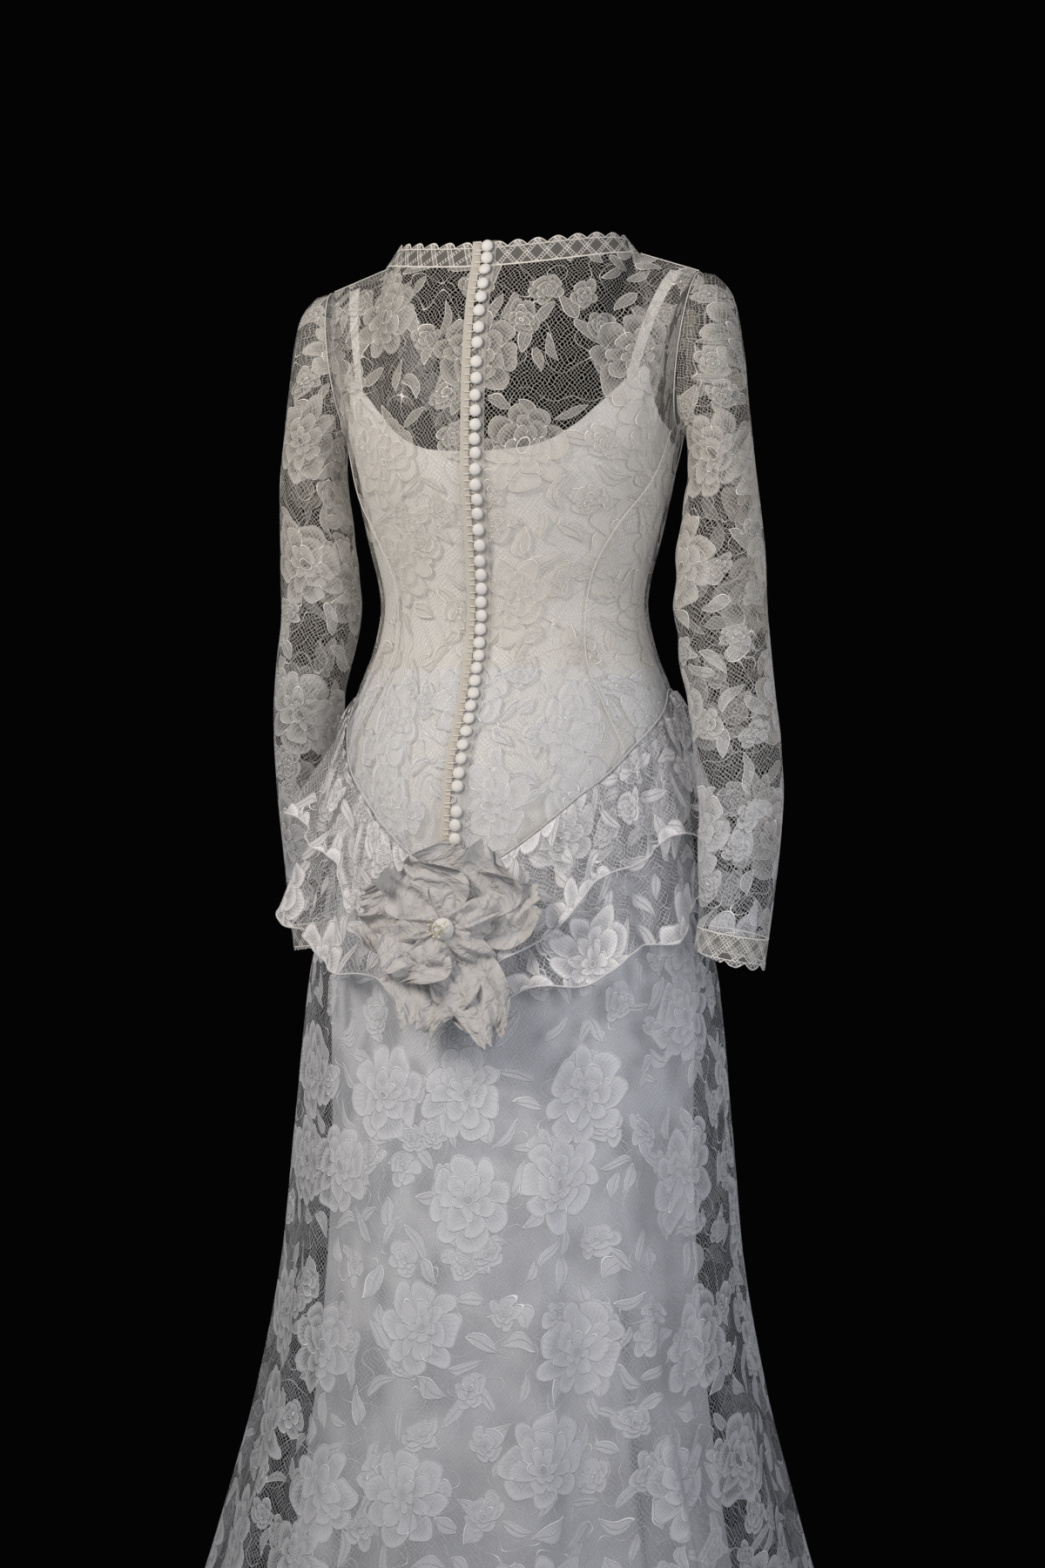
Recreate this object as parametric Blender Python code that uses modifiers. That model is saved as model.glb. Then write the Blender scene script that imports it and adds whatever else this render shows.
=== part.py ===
"""Long-sleeved lace wedding dress, worn shape with no wearer inside.

Metres, +Z up. The origin is the middle of the shoulder line, where the dress is held.
The back of the dress faces -Y, the wearer's right is +X.
Angles run round the body in degrees from the centre back (0) through +X (90) to the front (180).
"""
import bpy
import math
from mathutils import Vector
from mathutils.bvhtree import BVHTree

# Driving sizes
WALL = 0.0013          # cloth wall
GAP = 0.0004           # space between pieces at a seam
SLIP_INSET = 0.0040    # slip surface inside the lace surface
SPLIT_Z = -0.190       # below this the body is plain rings, above it the yoke curves in
SEAM_TURN = 0.07       # half a seam space, in degrees round the body
HEM_Z = -1.400
SLIP_HEM_Z = -1.385
NECK_HALF = 0.128      # neck point to centre
NECK_Z = 0.020
ARMHOLE_DROP = 0.147
BAND_HEIGHT = 0.025
BUTTON_RADIUS = 0.0057
BUTTON_HEIGHT = 0.0050

# Body rings: height, half width, depth behind the axis, depth in front of it
BODY = [
    (-0.147, 0.1670, 0.1000, 0.1180),
    (-0.190, 0.1580, 0.1000, 0.1240),
    (-0.240, 0.1470, 0.0915, 0.1150),
    (-0.307, 0.1325, 0.0830, 0.0970),
    (-0.353, 0.1400, 0.0880, 0.1000),
    (-0.390, 0.1540, 0.1010, 0.1060),
    (-0.418, 0.1620, 0.1140, 0.1100),
    (-0.467, 0.1690, 0.1400, 0.1170),
    (-0.530, 0.1760, 0.1520, 0.1250),
    (-0.600, 0.1850, 0.1550, 0.1340),
    (-0.668, 0.2000, 0.1620, 0.1450),
    (-0.820, 0.2120, 0.1800, 0.1680),
    (-0.945, 0.2200, 0.2030, 0.1880),
    (-1.070, 0.2400, 0.2350, 0.2080),
    (-1.155, 0.2600, 0.2640, 0.2230),
    (-1.238, 0.2810, 0.2980, 0.2370),
    (-1.400, 0.3300, 0.3700, 0.2650),
]

# Underskirt rings: height, half width, depth behind, depth in front
UNDER = [
    (-0.390, 0.1500, 0.0970, 0.1020),
    (-0.418, 0.1580, 0.1100, 0.1060),
    (-0.467, 0.1645, 0.1355, 0.1125),
    (-0.530, 0.1680, 0.1445, 0.1175),
    (-0.600, 0.1720, 0.1460, 0.1230),
    (-0.668, 0.1780, 0.1480, 0.1300),
    (-0.820, 0.1740, 0.1560, 0.1420),
    (-0.945, 0.1760, 0.1680, 0.1520),
    (-1.070, 0.1840, 0.1880, 0.1640),
    (-1.238, 0.2050, 0.2250, 0.1850),
    (-1.400, 0.2350, 0.2700, 0.2100),
]

# Basque seam: angle from the centre back, height
BASQUE = [
    (0.0, -0.575), (17.0, -0.543), (30.0, -0.513), (38.0, -0.494), (49.0, -0.472),
    (60.0, -0.446), (70.0, -0.428), (80.0, -0.411), (90.0, -0.394), (110.0, -0.398),
    (135.0, -0.420), (160.0, -0.446), (180.0, -0.460),
]

# Back princess seam: height, angle
PRINCESS_BACK = [
    (-0.148, 80.0), (-0.195, 73.0), (-0.239, 57.0), (-0.277, 48.5), (-0.314, 45.5),
    (-0.369, 42.5), (-0.410, 47.0), (-0.450, 55.0),
]

# Front princess seam: height, angle
PRINCESS_FRONT = [
    (-0.148, 102.0), (-0.195, 116.0), (-0.250, 130.0), (-0.314, 136.0), (-0.380, 138.0),
    (-0.440, 140.0),
]

# Slip top edge: angle, height
SLIP_TOP = [
    (0.0, -0.172), (17.0, -0.168), (25.0, -0.161), (33.0, -0.148), (41.0, -0.130),
    (48.0, -0.110), (55.0, -0.092), (62.0, -0.118), (73.0, -0.148), (90.0, -0.160),
    (108.0, -0.156), (118.0, -0.130), (126.0, -0.102), (132.0, -0.104), (140.0, -0.128), (151.0, -0.160),
    (165.0, -0.178), (180.0, -0.184),
]

# Skirt folds: angle at the hip, angle at the hem, half width in degrees, height at the hem,
# share of that height at the hip
FOLDS = [
    (-4.0, -3.0, 5.0, 0.010, 0.10), (12.0, 11.0, 5.5, 0.008, 0.10), (25.0, 26.0, 6.0, 0.016, 0.30),
    (46.0, 57.0, 6.5, 0.024, 0.25), (74.0, 80.0, 6.0, 0.016, 0.15), (-22.0, -22.0, 6.0, 0.012, 0.15),
    (-42.0, -44.0, 6.5, 0.015, 0.20), (-64.0, -68.0, 6.5, 0.017, 0.15), (-88.0, -90.0, 6.5, 0.015, 0.15),
    (100.0, 103.0, 7.0, 0.016, 0.15), (126.0, 126.0, 7.0, 0.015, 0.15), (150.0, 149.0, 7.0, 0.016, 0.15),
    (176.0, 175.0, 7.0, 0.014, 0.15), (-113.0, -114.0, 7.0, 0.016, 0.15), (-137.0, -137.0, 7.0, 0.015, 0.15),
    (-160.0, -160.0, 7.0, 0.015, 0.15),
]

# Sleeve edges, wearer's right: outer point x y z, inner point x y z, half depth
SLEEVE_RIGHT = [
    (0.2030, 0.000, -0.0040, 0.1735, 0.000, -0.1520, 0.0375),
    (0.2190, 0.000, -0.0240, 0.1770, -0.001, -0.1580, 0.0385),
    (0.2290, -0.002, -0.0700, 0.1785, -0.001, -0.1700, 0.0370),
    (0.2350, -0.004, -0.1250, 0.1790, -0.003, -0.1880, 0.0355),
    (0.2420, -0.007, -0.1850, 0.1770, -0.008, -0.2200, 0.0380),
    (0.2530, -0.015, -0.2600, 0.1710, -0.015, -0.2720, 0.0425),
    (0.2590, -0.024, -0.3300, 0.1730, -0.024, -0.3320, 0.0430),
    (0.2690, -0.036, -0.4000, 0.1870, -0.037, -0.4000, 0.0420),
    (0.2790, -0.046, -0.4600, 0.1990, -0.047, -0.4600, 0.0400),
    (0.2800, -0.056, -0.5300, 0.2055, -0.057, -0.5300, 0.0370),
    (0.2720, -0.068, -0.6240, 0.2080, -0.069, -0.6120, 0.0320),
]

# Sleeve edges, wearer's left
SLEEVE_LEFT = [
    (-0.2030, 0.000, -0.0040, -0.1735, 0.000, -0.1520, 0.0375),
    (-0.2190, 0.000, -0.0240, -0.1770, 0.001, -0.1580, 0.0385),
    (-0.2290, 0.001, -0.0700, -0.1785, 0.001, -0.1700, 0.0375),
    (-0.2360, 0.003, -0.1250, -0.1780, 0.002, -0.1880, 0.0370),
    (-0.2430, 0.005, -0.1850, -0.1740, 0.004, -0.2200, 0.0400),
    (-0.2440, 0.008, -0.2600, -0.1670, 0.007, -0.2720, 0.0410),
    (-0.2480, 0.014, -0.3300, -0.1700, 0.013, -0.3320, 0.0385),
    (-0.2580, 0.022, -0.4000, -0.1880, 0.021, -0.4000, 0.0360),
    (-0.2620, 0.033, -0.4600, -0.1990, 0.031, -0.4600, 0.0330),
    (-0.2610, 0.045, -0.5300, -0.1990, 0.043, -0.5300, 0.0320),
    (-0.2570, 0.060, -0.6240, -0.1940, 0.060, -0.6180, 0.0310),
]

# Cuff bands: outer point x y z, inner point x y z, half depth
CUFF_RIGHT = [
    (0.2720, -0.0682, -0.6245, 0.2080, -0.0692, -0.6125, 0.0320),
    (0.2700, -0.0700, -0.6400, 0.2070, -0.0710, -0.6230, 0.0320),
    (0.2690, -0.0720, -0.6560, 0.2060, -0.0730, -0.6330, 0.0320),
]
CUFF_LEFT = [
    (-0.2570, 0.0602, -0.6245, -0.1940, 0.0602, -0.6185, 0.0310),
    (-0.2560, 0.0620, -0.6380, -0.1930, 0.0620, -0.6300, 0.0310),
    (-0.2550, 0.0640, -0.6510, -0.1920, 0.0640, -0.6420, 0.0310),
]

# Button heights, top to bottom, in groups of three on one length of tape
BUTTONS = [
    0.0240, 0.0125, 0.0000, -0.0140, -0.0270, -0.0400, -0.0560, -0.0705, -0.0885,
    -0.1040, -0.1200, -0.1345, -0.1475, -0.1610, -0.1740, -0.1890, -0.2030, -0.2165,
    -0.2295, -0.2445, -0.2590, -0.2735, -0.2865, -0.2995, -0.3125, -0.3255, -0.3385,
    -0.3515, -0.3640, -0.3760, -0.3880, -0.4000, -0.4120, -0.4240, -0.4360, -0.4485,
    -0.4610, -0.4740, -0.4860, -0.5090, -0.5215, -0.5340,
]
LOOP_SPARE_Z = -0.4975

# Peplum: side, tier, angle from, angle to, drop near the back, drop at the middle, drop at the side
PEPLUM = [
    ("peplum_upper_right", 1, 7.5, 98.0, 0.100, 0.082, 0.122),
    ("peplum_lower_right", 0, 7.0, 100.0, 0.118, 0.168, 0.178),
    ("peplum_upper_left", 1, -96.0, -3.5, 0.085, 0.066, 0.100),
    ("peplum_lower_left", 0, -98.0, -3.0, 0.112, 0.160, 0.165),
]

# Ruffle waves: tier, side, angle of the crest, half width in degrees, extra slope there
RUFFLES = [
    (1, 1, 13.0, 6.5, 0.16), (1, 1, 31.0, 6.5, 0.13), (1, 1, 50.0, 7.0, 0.12), (1, 1, 69.0, 6.5, 0.08),
    (1, 1, 88.0, 7.5, 0.05), (1, -1, 14.0, 6.5, 0.15), (1, -1, 31.0, 6.5, 0.14), (1, -1, 50.0, 7.0, 0.22),
    (1, -1, 68.0, 7.5, 0.36), (1, -1, 87.0, 6.0, 0.06), (0, 1, 9.0, 6.5, 0.07), (0, 1, 26.0, 7.0, 0.08),
    (0, 1, 44.0, 7.0, 0.08), (0, 1, 62.0, 7.0, 0.06), (0, 1, 80.0, 7.0, 0.03), (0, 1, 97.0, 6.0, 0.03),
    (0, -1, 12.0, 6.5, 0.07), (0, -1, 29.0, 6.5, 0.08), (0, -1, 47.0, 7.0, 0.10), (0, -1, 66.0, 7.5, 0.17),
    (0, -1, 83.0, 7.0, 0.05), (0, -1, 97.0, 6.0, 0.02),
]

# Flower petals: name, angle on the dress in degrees from straight up, length, widest half width,
# lift of the root, curl of the tip
PETALS = [
    ("petal_left", -80.0, 0.074, 0.033, 0.0300, 0.012), ("petal_right", 66.0, 0.086, 0.026, 0.0328, 0.012),
    ("petal_top", 20.0, 0.084, 0.036, 0.0356, 0.013), ("petal_bottom", 186.0, 0.094, 0.021, 0.0384, 0.014),
    ("petal_tail", 155.0, 0.110, 0.017, 0.0412, 0.015),
    ("petal_upper_left", -20.0, 0.068, 0.020, 0.0440, 0.016),
    ("petal_lower_left", -140.0, 0.048, 0.020, 0.0468, 0.018),
]
FLOWER_CENTRE = (0.006, -0.614)
PETAL_ROOT = 0.0088    # petals start this far from the flower's middle

# Colours: slot, red, green, blue, roughness
COLOURS = {
    "lace": (0.62, 0.58, 0.53, 0.85),
    "lace_skirt": (0.58, 0.59, 0.62, 0.85),
    "slip": (0.50, 0.48, 0.45, 0.55),
    "button": (0.66, 0.63, 0.59, 0.60),
    "trim": (0.60, 0.55, 0.49, 0.80),
    "organza": (0.45, 0.42, 0.38, 0.70),
}


def blend(table, value):
    """Smooth value between the rows of a table, for each column after the first."""
    rows = sorted(table)
    if value <= rows[0][0]:
        return rows[0][1:]
    if value >= rows[-1][0]:
        return rows[-1][1:]
    for k in range(len(rows) - 1):
        if rows[k][0] <= value <= rows[k + 1][0]:
            break
    p0 = rows[max(k - 1, 0)]
    p1 = rows[k]
    p2 = rows[k + 1]
    p3 = rows[min(k + 2, len(rows) - 1)]
    h = p2[0] - p1[0]
    t = (value - p1[0]) / h
    out = []
    for c in range(1, len(p1)):
        m1 = (p2[c] - p0[c]) / max(p2[0] - p0[0], 1e-9) * h
        m2 = (p3[c] - p1[c]) / max(p3[0] - p1[0], 1e-9) * h
        a = (2 * t ** 3 - 3 * t ** 2 + 1) * p1[c] + (t ** 3 - 2 * t ** 2 + t) * m1
        b = (-2 * t ** 3 + 3 * t ** 2) * p2[c] + (t ** 3 - t ** 2) * m2
        out.append(a + b)
    return out


def ring_point(sizes, angle):
    """Point of an oval ring; sizes are half width, depth behind and depth in front."""
    s = math.sin(math.radians(angle))
    c = math.cos(math.radians(angle))
    depth = sizes[1] if c > 0 else sizes[2]
    return Vector((sizes[0] * s, -depth * c, 0.0))


def turn_gap(a, b):
    """Difference of two angles, from -180 to 180."""
    return (a - b + 180.0) % 360.0 - 180.0


def fold_height(angle, z):
    """How far the skirt's folds stand out at an angle and a height."""
    down = min(max((-0.56 - z) / 0.84, 0.0), 1.0)
    total = 0.0
    for hip, hem, width, height, share in FOLDS:
        d = turn_gap(angle, hip + (hem - hip) * down) / width
        if abs(d) < 3.0:
            total += height * down ** 0.7 * (share + (1 - share) * down) * math.exp(-0.5 * d * d * 1.6)
    return total


def oval(angle, z, inset=0.0):
    """Lace surface of the body below the yoke and of the skirt."""
    sizes = [v - inset for v in blend(BODY, z)]
    p = ring_point(sizes, angle)
    out = p.normalized()
    p = p + out * fold_height(angle, z)
    p.z = z
    return p


def under(angle, z):
    """Surface of the underskirt, with softer folds."""
    p = ring_point(blend(UNDER, z), angle)
    out = p.normalized()
    p = p + out * 0.35 * fold_height(angle, z)
    p.z = z
    return p


def armhole(turn, side, back):
    """Armhole seam; turn is 0 at the shoulder and 180 under the arm."""
    s = math.sin(math.radians(turn))
    c = math.cos(math.radians(turn))
    x = 0.1765 + 0.0105 * c
    depth = -0.036 if back else 0.040
    return Vector((side * x, depth * s, -ARMHOLE_DROP * (1 - c) / 2))


def neck_back(turn, side):
    """Back neck seam; turn is 0 at the centre back and 90 at the neck point."""
    s = math.sin(math.radians(turn))
    c = math.cos(math.radians(turn))
    return Vector((side * NECK_HALF * s, -0.070 * c, 0.005 + 0.015 * s * s))


def neck_front(turn, side):
    """Front neck seam; turn is 0 at the centre front and 90 at the neck point."""
    s = math.sin(math.radians(turn))
    c = math.cos(math.radians(turn))
    y = 0.119 * max(c, 0.0) ** 0.8
    z = -0.165 + (NECK_Z + 0.165) * max(1 - c, 0.0) ** 1.3
    return Vector((side * NECK_HALF * s, y, z))


# Top of the yoke: share across the panel, kind of edge, turn along that edge
YOKE_TOP = [
    (0.00, "neck", 0.0), (0.09, "neck", 15.0), (0.18, "neck", 30.0), (0.27, "neck", 45.0),
    (0.36, "neck", 60.0), (0.45, "neck", 75.0), (0.54, "neck", 90.0), (0.66, "shoulder", 0.5),
    (0.77, "shoulder", 1.0), (0.82, "arm", 30.0), (0.865, "arm", 60.0), (0.905, "arm", 90.0),
    (0.94, "arm", 120.0), (0.97, "arm", 145.0), (1.00, "arm", 165.0),
]
SIDE_COLUMNS = 3
LOWER_ROWS = 7
UPPER_ROWS = 5


def yoke_top(share, side, back):
    """Edge point at the top of a yoke, found between the rows of its table."""
    for k in range(len(YOKE_TOP) - 1):
        if YOKE_TOP[k][0] <= share <= YOKE_TOP[k + 1][0] + 1e-9:
            break
    t = (share - YOKE_TOP[k][0]) / (YOKE_TOP[k + 1][0] - YOKE_TOP[k][0])
    ends = []
    for row in (YOKE_TOP[k], YOKE_TOP[k + 1]):
        if row[1] == "neck":
            p = neck_back(row[2], side) if back else neck_front(row[2], side)
        elif row[1] == "shoulder":
            p0 = Vector((side * NECK_HALF, 0.0, NECK_Z))
            p1 = armhole(0.0, side, back)
            p = p0.lerp(p1, row[2])
        else:
            p = armhole(row[2], side, back)
        ends.append(p)
    return ends[0].lerp(ends[1], t)


def yoke(share, rise, side, back):
    """Yoke surface; rise is 0 at the split height and 1 at the top edge."""
    seam = blend(PRINCESS_BACK if back else PRINCESS_FRONT, SPLIT_Z)[0]
    middle = 0.0 if back else 180.0
    start = oval(side * (middle + (seam - middle) * share), SPLIT_Z)
    top = yoke_top(share, side, back)
    arm = min(max((share - 0.77) / 0.23, 0.0), 1.0)
    bend = Vector((0.45 * start.x + 0.55 * top.x, start.y * 1.02, 0.0))
    bend.z = start.z + (top.z - start.z) * 0.74
    middle_point = start.lerp(top, 0.5)
    control = bend.lerp(middle_point, arm)
    p = start * (1 - rise) ** 2 + control * 2 * rise * (1 - rise) + top * rise * rise
    if share >= 0.54:
        p.y += (-0.5 if back else 0.5) * GAP * rise
    return p


def yoke_normal(share, rise, side, back):
    """Outward direction of the yoke surface."""
    step = 0.02
    a = yoke(max(share - step, 0.0), rise, side, back)
    b = yoke(min(share + step, 1.0), rise, side, back)
    c = yoke(share, max(rise - step, 0.0), side, back)
    d = yoke(share, min(rise + step, 1.0), side, back)
    n = (b - a).cross(d - c).normalized()
    outside = Vector((side * 0.3, -1.0 if back else 1.0, 0.4))
    return n if n.dot(outside) > 0 else -n


def basque_level(angle):
    return blend(BASQUE, abs(turn_gap(angle, 0.0)))[0]


def seam_angle(z, back):
    return blend(PRINCESS_BACK if back else PRINCESS_FRONT, z)[0]


def body_panel_point(share, along, side, back, centre):
    """Point of a bodice panel; along is 0 at the basque seam, 1 at the split and 2 at the top."""
    middle = 0.0 if back else 180.0
    turn = SEAM_TURN if back else -SEAM_TURN

    def angle_at(z):
        seam = seam_angle(z, back)
        if centre:
            return middle + (seam - turn - middle) * share
        return seam + turn + (90.0 - turn - seam - turn) * share

    if along <= 1.0:
        bottom = -0.5
        for _ in range(12):
            bottom = basque_level(angle_at(bottom))
        bottom += GAP / 2
        z = bottom + (SPLIT_Z - bottom) * along
        return oval(side * angle_at(z), z)
    if centre:
        return yoke(share, along - 1.0, side, back)
    start = oval(side * angle_at(SPLIT_Z), SPLIT_Z)
    top = armhole(166.0 + 13.2 * share, side, back)
    return start.lerp(top, along - 1.0)


def bottom_angle(share, back, centre):
    """Angle of a bodice column where it meets the basque seam."""
    middle = 0.0 if back else 180.0
    angle = middle
    for _ in range(12):
        seam = seam_angle(basque_level(angle), back)
        angle = middle + (seam - middle) * share if centre else seam + (90.0 - seam) * share
    return angle


def quarter_angles(back):
    """Angles of the columns of a quarter, from the centre line to the side seam."""
    angles = [bottom_angle(row[0], back, True) for row in YOKE_TOP]
    angles += [bottom_angle(k / SIDE_COLUMNS, back, False) for k in range(1, SIDE_COLUMNS + 1)]
    return angles


def band_angles(start, end):
    """Column angles from one angle to another, in step with the bodice above."""
    back = quarter_angles(True)
    front = quarter_angles(False)
    everything = [-a for a in back[:0:-1]] + back + front[-2::-1] + [360.0 - a for a in front[1:-1]]
    inside = [a for a in everything if start + 0.5 < a < end - 0.5]
    return [start] + inside + [end]


def clear_scene():
    for item in list(bpy.data.objects):
        bpy.data.objects.remove(item)


def make_material(slot):
    r, g, b, rough = COLOURS[slot]
    material = bpy.data.materials.new(slot)
    material.use_nodes = True
    shader = material.node_tree.nodes["Principled BSDF"]
    shader.inputs["Base Color"].default_value = (r, g, b, 1.0)
    shader.inputs["Roughness"].default_value = rough
    shader.inputs["Metallic"].default_value = 0.0
    material.diffuse_color = (r, g, b, 1.0)
    return material


def add_object(name, points, faces, slot, smooth=True):
    mesh = bpy.data.meshes.new(name)
    mesh.from_pydata([tuple(p) for p in points], [], faces)
    mesh.validate()
    mesh.update()
    for face in mesh.polygons:
        face.use_smooth = smooth
    item = bpy.data.objects.new(name, mesh)
    item.data.materials.append(make_material(slot))
    PARTS.objects.link(item)
    return item


def thicken(item, wall=WALL, offset=1.0):
    solid = item.modifiers.new("wall", "SOLIDIFY")
    solid.thickness = wall
    solid.offset = offset
    solid.use_even_offset = False
    solid.use_rim = True
    return item


def sheet(name, columns, rows, place, slot, closed=False, outward=True, wall=WALL, offset=1.0):
    """Open cloth from a grid of points, thickened outward to a wall."""
    points = []
    count = columns if closed else columns + 1
    for j in range(rows + 1):
        for i in range(count):
            points.append(place(i / columns, j / rows))
    faces = []
    for j in range(rows):
        for i in range(columns):
            a = j * count + i
            b = j * count + (i + 1) % count
            quad = (a, b, b + count, a + count)
            faces.append(quad if outward else quad[::-1])
    return thicken(add_object(name, points, faces, slot), wall, offset)


def build_bodice():
    panels = [
        ("back_centre_right", 1, True, True), ("back_centre_left", -1, True, True),
        ("back_side_right", 1, True, False), ("back_side_left", -1, True, False),
        ("front_side_right", 1, False, False), ("front_side_left", -1, False, False),
    ]
    for name, side, back, centre in panels:
        upper_rows = UPPER_ROWS if centre else 1
        columns = len(YOKE_TOP) - 1 if centre else SIDE_COLUMNS

        def place(u, v, side=side, back=back, centre=centre, upper=upper_rows, columns=columns):
            step = v * (LOWER_ROWS + upper)
            along = step / LOWER_ROWS if step <= LOWER_ROWS else 1.0 + (step - LOWER_ROWS) / upper
            if centre:
                u = YOKE_TOP[int(round(u * columns))][0]
            p = body_panel_point(u, along, side, back, centre)
            if centre and u == 0.0:
                p.x = side * GAP / 2
            return p
        flip = (side > 0) == back
        sheet(name, columns, LOWER_ROWS + upper_rows, place, "lace", outward=flip)

    half = len(YOKE_TOP) - 1

    def front(u, v):
        step = v * (LOWER_ROWS + UPPER_ROWS)
        along = step / LOWER_ROWS if step <= LOWER_ROWS else 1.0 + (step - LOWER_ROWS) / UPPER_ROWS
        k = int(round(u * 2 * half)) - half
        side = 1 if k >= 0 else -1
        p = body_panel_point(YOKE_TOP[abs(k)][0], along, side, False, True)
        if k == 0:
            p.x = 0.0
        return p
    sheet("front_centre", 2 * half, LOWER_ROWS + UPPER_ROWS, front, "lace", outward=False)


ARM_TURNS = [0.0, 30.0, 60.0, 90.0, 120.0, 145.0, 165.0, 180.0]


def build_sleeves():
    turns = ARM_TURNS + [360.0 - t for t in ARM_TURNS[-2:0:-1]]
    around = len(turns)
    sleeves = (("right", 1, SLEEVE_RIGHT, CUFF_RIGHT), ("left", -1, SLEEVE_LEFT, CUFF_LEFT))
    for name, side, table, cuff in sleeves:

        def loop_point(row, turn):
            outer = Vector(row[0:3])
            inner = Vector(row[3:6])
            middle = (outer + inner) / 2
            half = (outer - inner) / 2
            c = math.cos(math.radians(turn))
            s = math.sin(math.radians(turn))
            return middle + half * c + Vector((0.0, -row[6] * s, 0.0))

        def place(u, v, side=side, table=table, loop_point=loop_point):
            n = int(round(u * around)) % around
            k = int(round(v * len(table)))
            if k == 0:
                back = turns[n] <= 180.0
                p = armhole(turns[n] if back else 360.0 - turns[n], side, back)
                t = turns[n] if back else 360.0 - turns[n]
                low = min(max((t - 80.0) / 60.0, 0.0), 1.0)
                return p + Vector((side * (0.0008 + 0.0031 * low), 0.0, 0.0))
            relax = min(k / 4, 1.0)
            return loop_point(table[k - 1], turns[n] * (1 - relax) + 360.0 * n / around * relax)
        sheet("sleeve_" + name, around, len(table), place, "lace", closed=True, outward=side > 0)

        def cuff_place(u, v, cuff=cuff, loop_point=loop_point):
            return loop_point(cuff[int(round(v * 2))], 360.0 * u)
        sheet("cuff_edging_" + name, around, 2, cuff_place, "trim", closed=True, outward=side > 0)


def band_direction(turn, side, back):
    """Way the neck edging runs up from the neck seam, square to the seam."""
    share = 0.54 * turn / 90.0
    along = yoke(min(share + 0.02, 0.54), 1.0, side, back) - yoke(max(share - 0.02, 0.0), 1.0, side, back)
    along.normalize()
    if back:
        up = Vector((0.0, 0.16, 0.98)).lerp(Vector((side * -0.62, 0.0, 0.78)), math.sin(math.radians(turn)))
    else:
        up = yoke(share, 1.0, side, back) - yoke(share, 0.9, side, back)
        up.normalize()
        close = min(max((turn - 72.0) / 18.0, 0.0), 1.0)
        up = up.lerp(Vector((side * -0.62, 0.0, 0.78)), close * close)
    up = up - along * up.dot(along) * (1.0 if turn < 80.0 else 0.0)
    return up.normalized()


def build_neck_edging():
    for name, side in (("neck_edging_back_right", 1), ("neck_edging_back_left", -1)):
        def place_back(u, v, side=side):
            turn = min(max(90.0 * u, 0.35), 89.7)
            p = neck_back(turn, side) + band_direction(turn, side, True) * (0.0010 + BAND_HEIGHT * v)
            if u == 0.0:
                p.x = side * 0.0005
            return p
        sheet(name, 6, 1, place_back, "trim", outward=side > 0)

    def place_front(u, v):
        t = 2 * u - 1
        side = 1 if t >= 0 else -1
        turn = min(abs(t) * 90.0, 89.7)
        return neck_front(turn, side) + band_direction(turn, side, False) * (0.0022 + BAND_HEIGHT * v)
    sheet("neck_edging_front", 12, 1, place_front, "trim", outward=False)


def inside_yoke(share, rise, side, back):
    """Point of the slip or a strap, just inside the yoke."""
    return yoke(share, rise, side, back) - yoke_normal(share, rise, side, back) * SLIP_INSET


def slip_point(angle, z):
    """Slip surface, just inside the lace at any height of the body."""
    if z <= SPLIT_Z:
        if z < -0.39:
            return under(angle, z)
        return oval(angle, z, SLIP_INSET)
    a = abs(turn_gap(angle, 0.0))
    side = 1 if turn_gap(angle, 0.0) >= 0 else -1
    back = a <= 90.0
    seam = seam_angle(SPLIT_Z, back)
    middle = 0.0 if back else 180.0
    share = (a - middle) / (seam - middle)
    if share <= 1.0:
        lo = 0.0
        hi = 1.0
        for _ in range(24):
            mid = (lo + hi) / 2
            if yoke(share, mid, side, back).z < z:
                lo = mid
            else:
                hi = mid
        return inside_yoke(share, (lo + hi) / 2, side, back)
    start = oval(side * a, SPLIT_Z, SLIP_INSET)
    share = (a - seam) / (90.0 - seam)
    top = armhole(166.0 + 14.0 * share, side, back)
    top.x -= side * SLIP_INSET
    t = (z - SPLIT_Z) / (top.z - SPLIT_Z)
    return start.lerp(top, t)


SLIP_STEPS = 20


def build_slip():
    def angle_of(u, start, end):
        """Evenly spread columns with their ends a seam space inside the side seams."""
        return start + (end - start) * u

    def torso(u, v, start, end):
        angle = angle_of(u, start, end)
        top = blend(SLIP_TOP, abs(turn_gap(angle, 0.0)))[0]
        bottom = basque_level(angle) + GAP / 2
        step = v * (LOWER_ROWS + 2)
        if step <= LOWER_ROWS:
            return slip_point(angle, bottom + (SPLIT_Z - bottom) * step / LOWER_ROWS)
        base = SPLIT_Z if top > SPLIT_Z + 0.012 else top - 0.012
        return slip_point(angle, base + (top - base) * (step - LOWER_ROWS) / 2)
    rows = LOWER_ROWS + 2
    sheet("slip_back", SLIP_STEPS, rows, lambda u, v: torso(u, v, -89.9, 89.9), "slip")
    sheet("slip_front", SLIP_STEPS, rows, lambda u, v: torso(u, v, 90.1, 269.9), "slip")

    def skirt(u, v, start, end):
        angle = angle_of(u, start, end)
        top = basque_level(angle) - GAP / 2
        return under(angle, top + (SLIP_HEM_Z - top) * (1 - v))
    sheet("slip_skirt_back", SLIP_STEPS, 6, lambda u, v: skirt(u, v, -89.9, 89.9), "slip")
    sheet("slip_skirt_front", SLIP_STEPS, 6, lambda u, v: skirt(u, v, 90.1, 269.9), "slip")


def strap_angle(share, back):
    """Body angle of a strap's end, by its share across the yoke."""
    middle = 0.0 if back else 180.0
    return middle + (seam_angle(SPLIT_Z, back) - middle) * share


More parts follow.
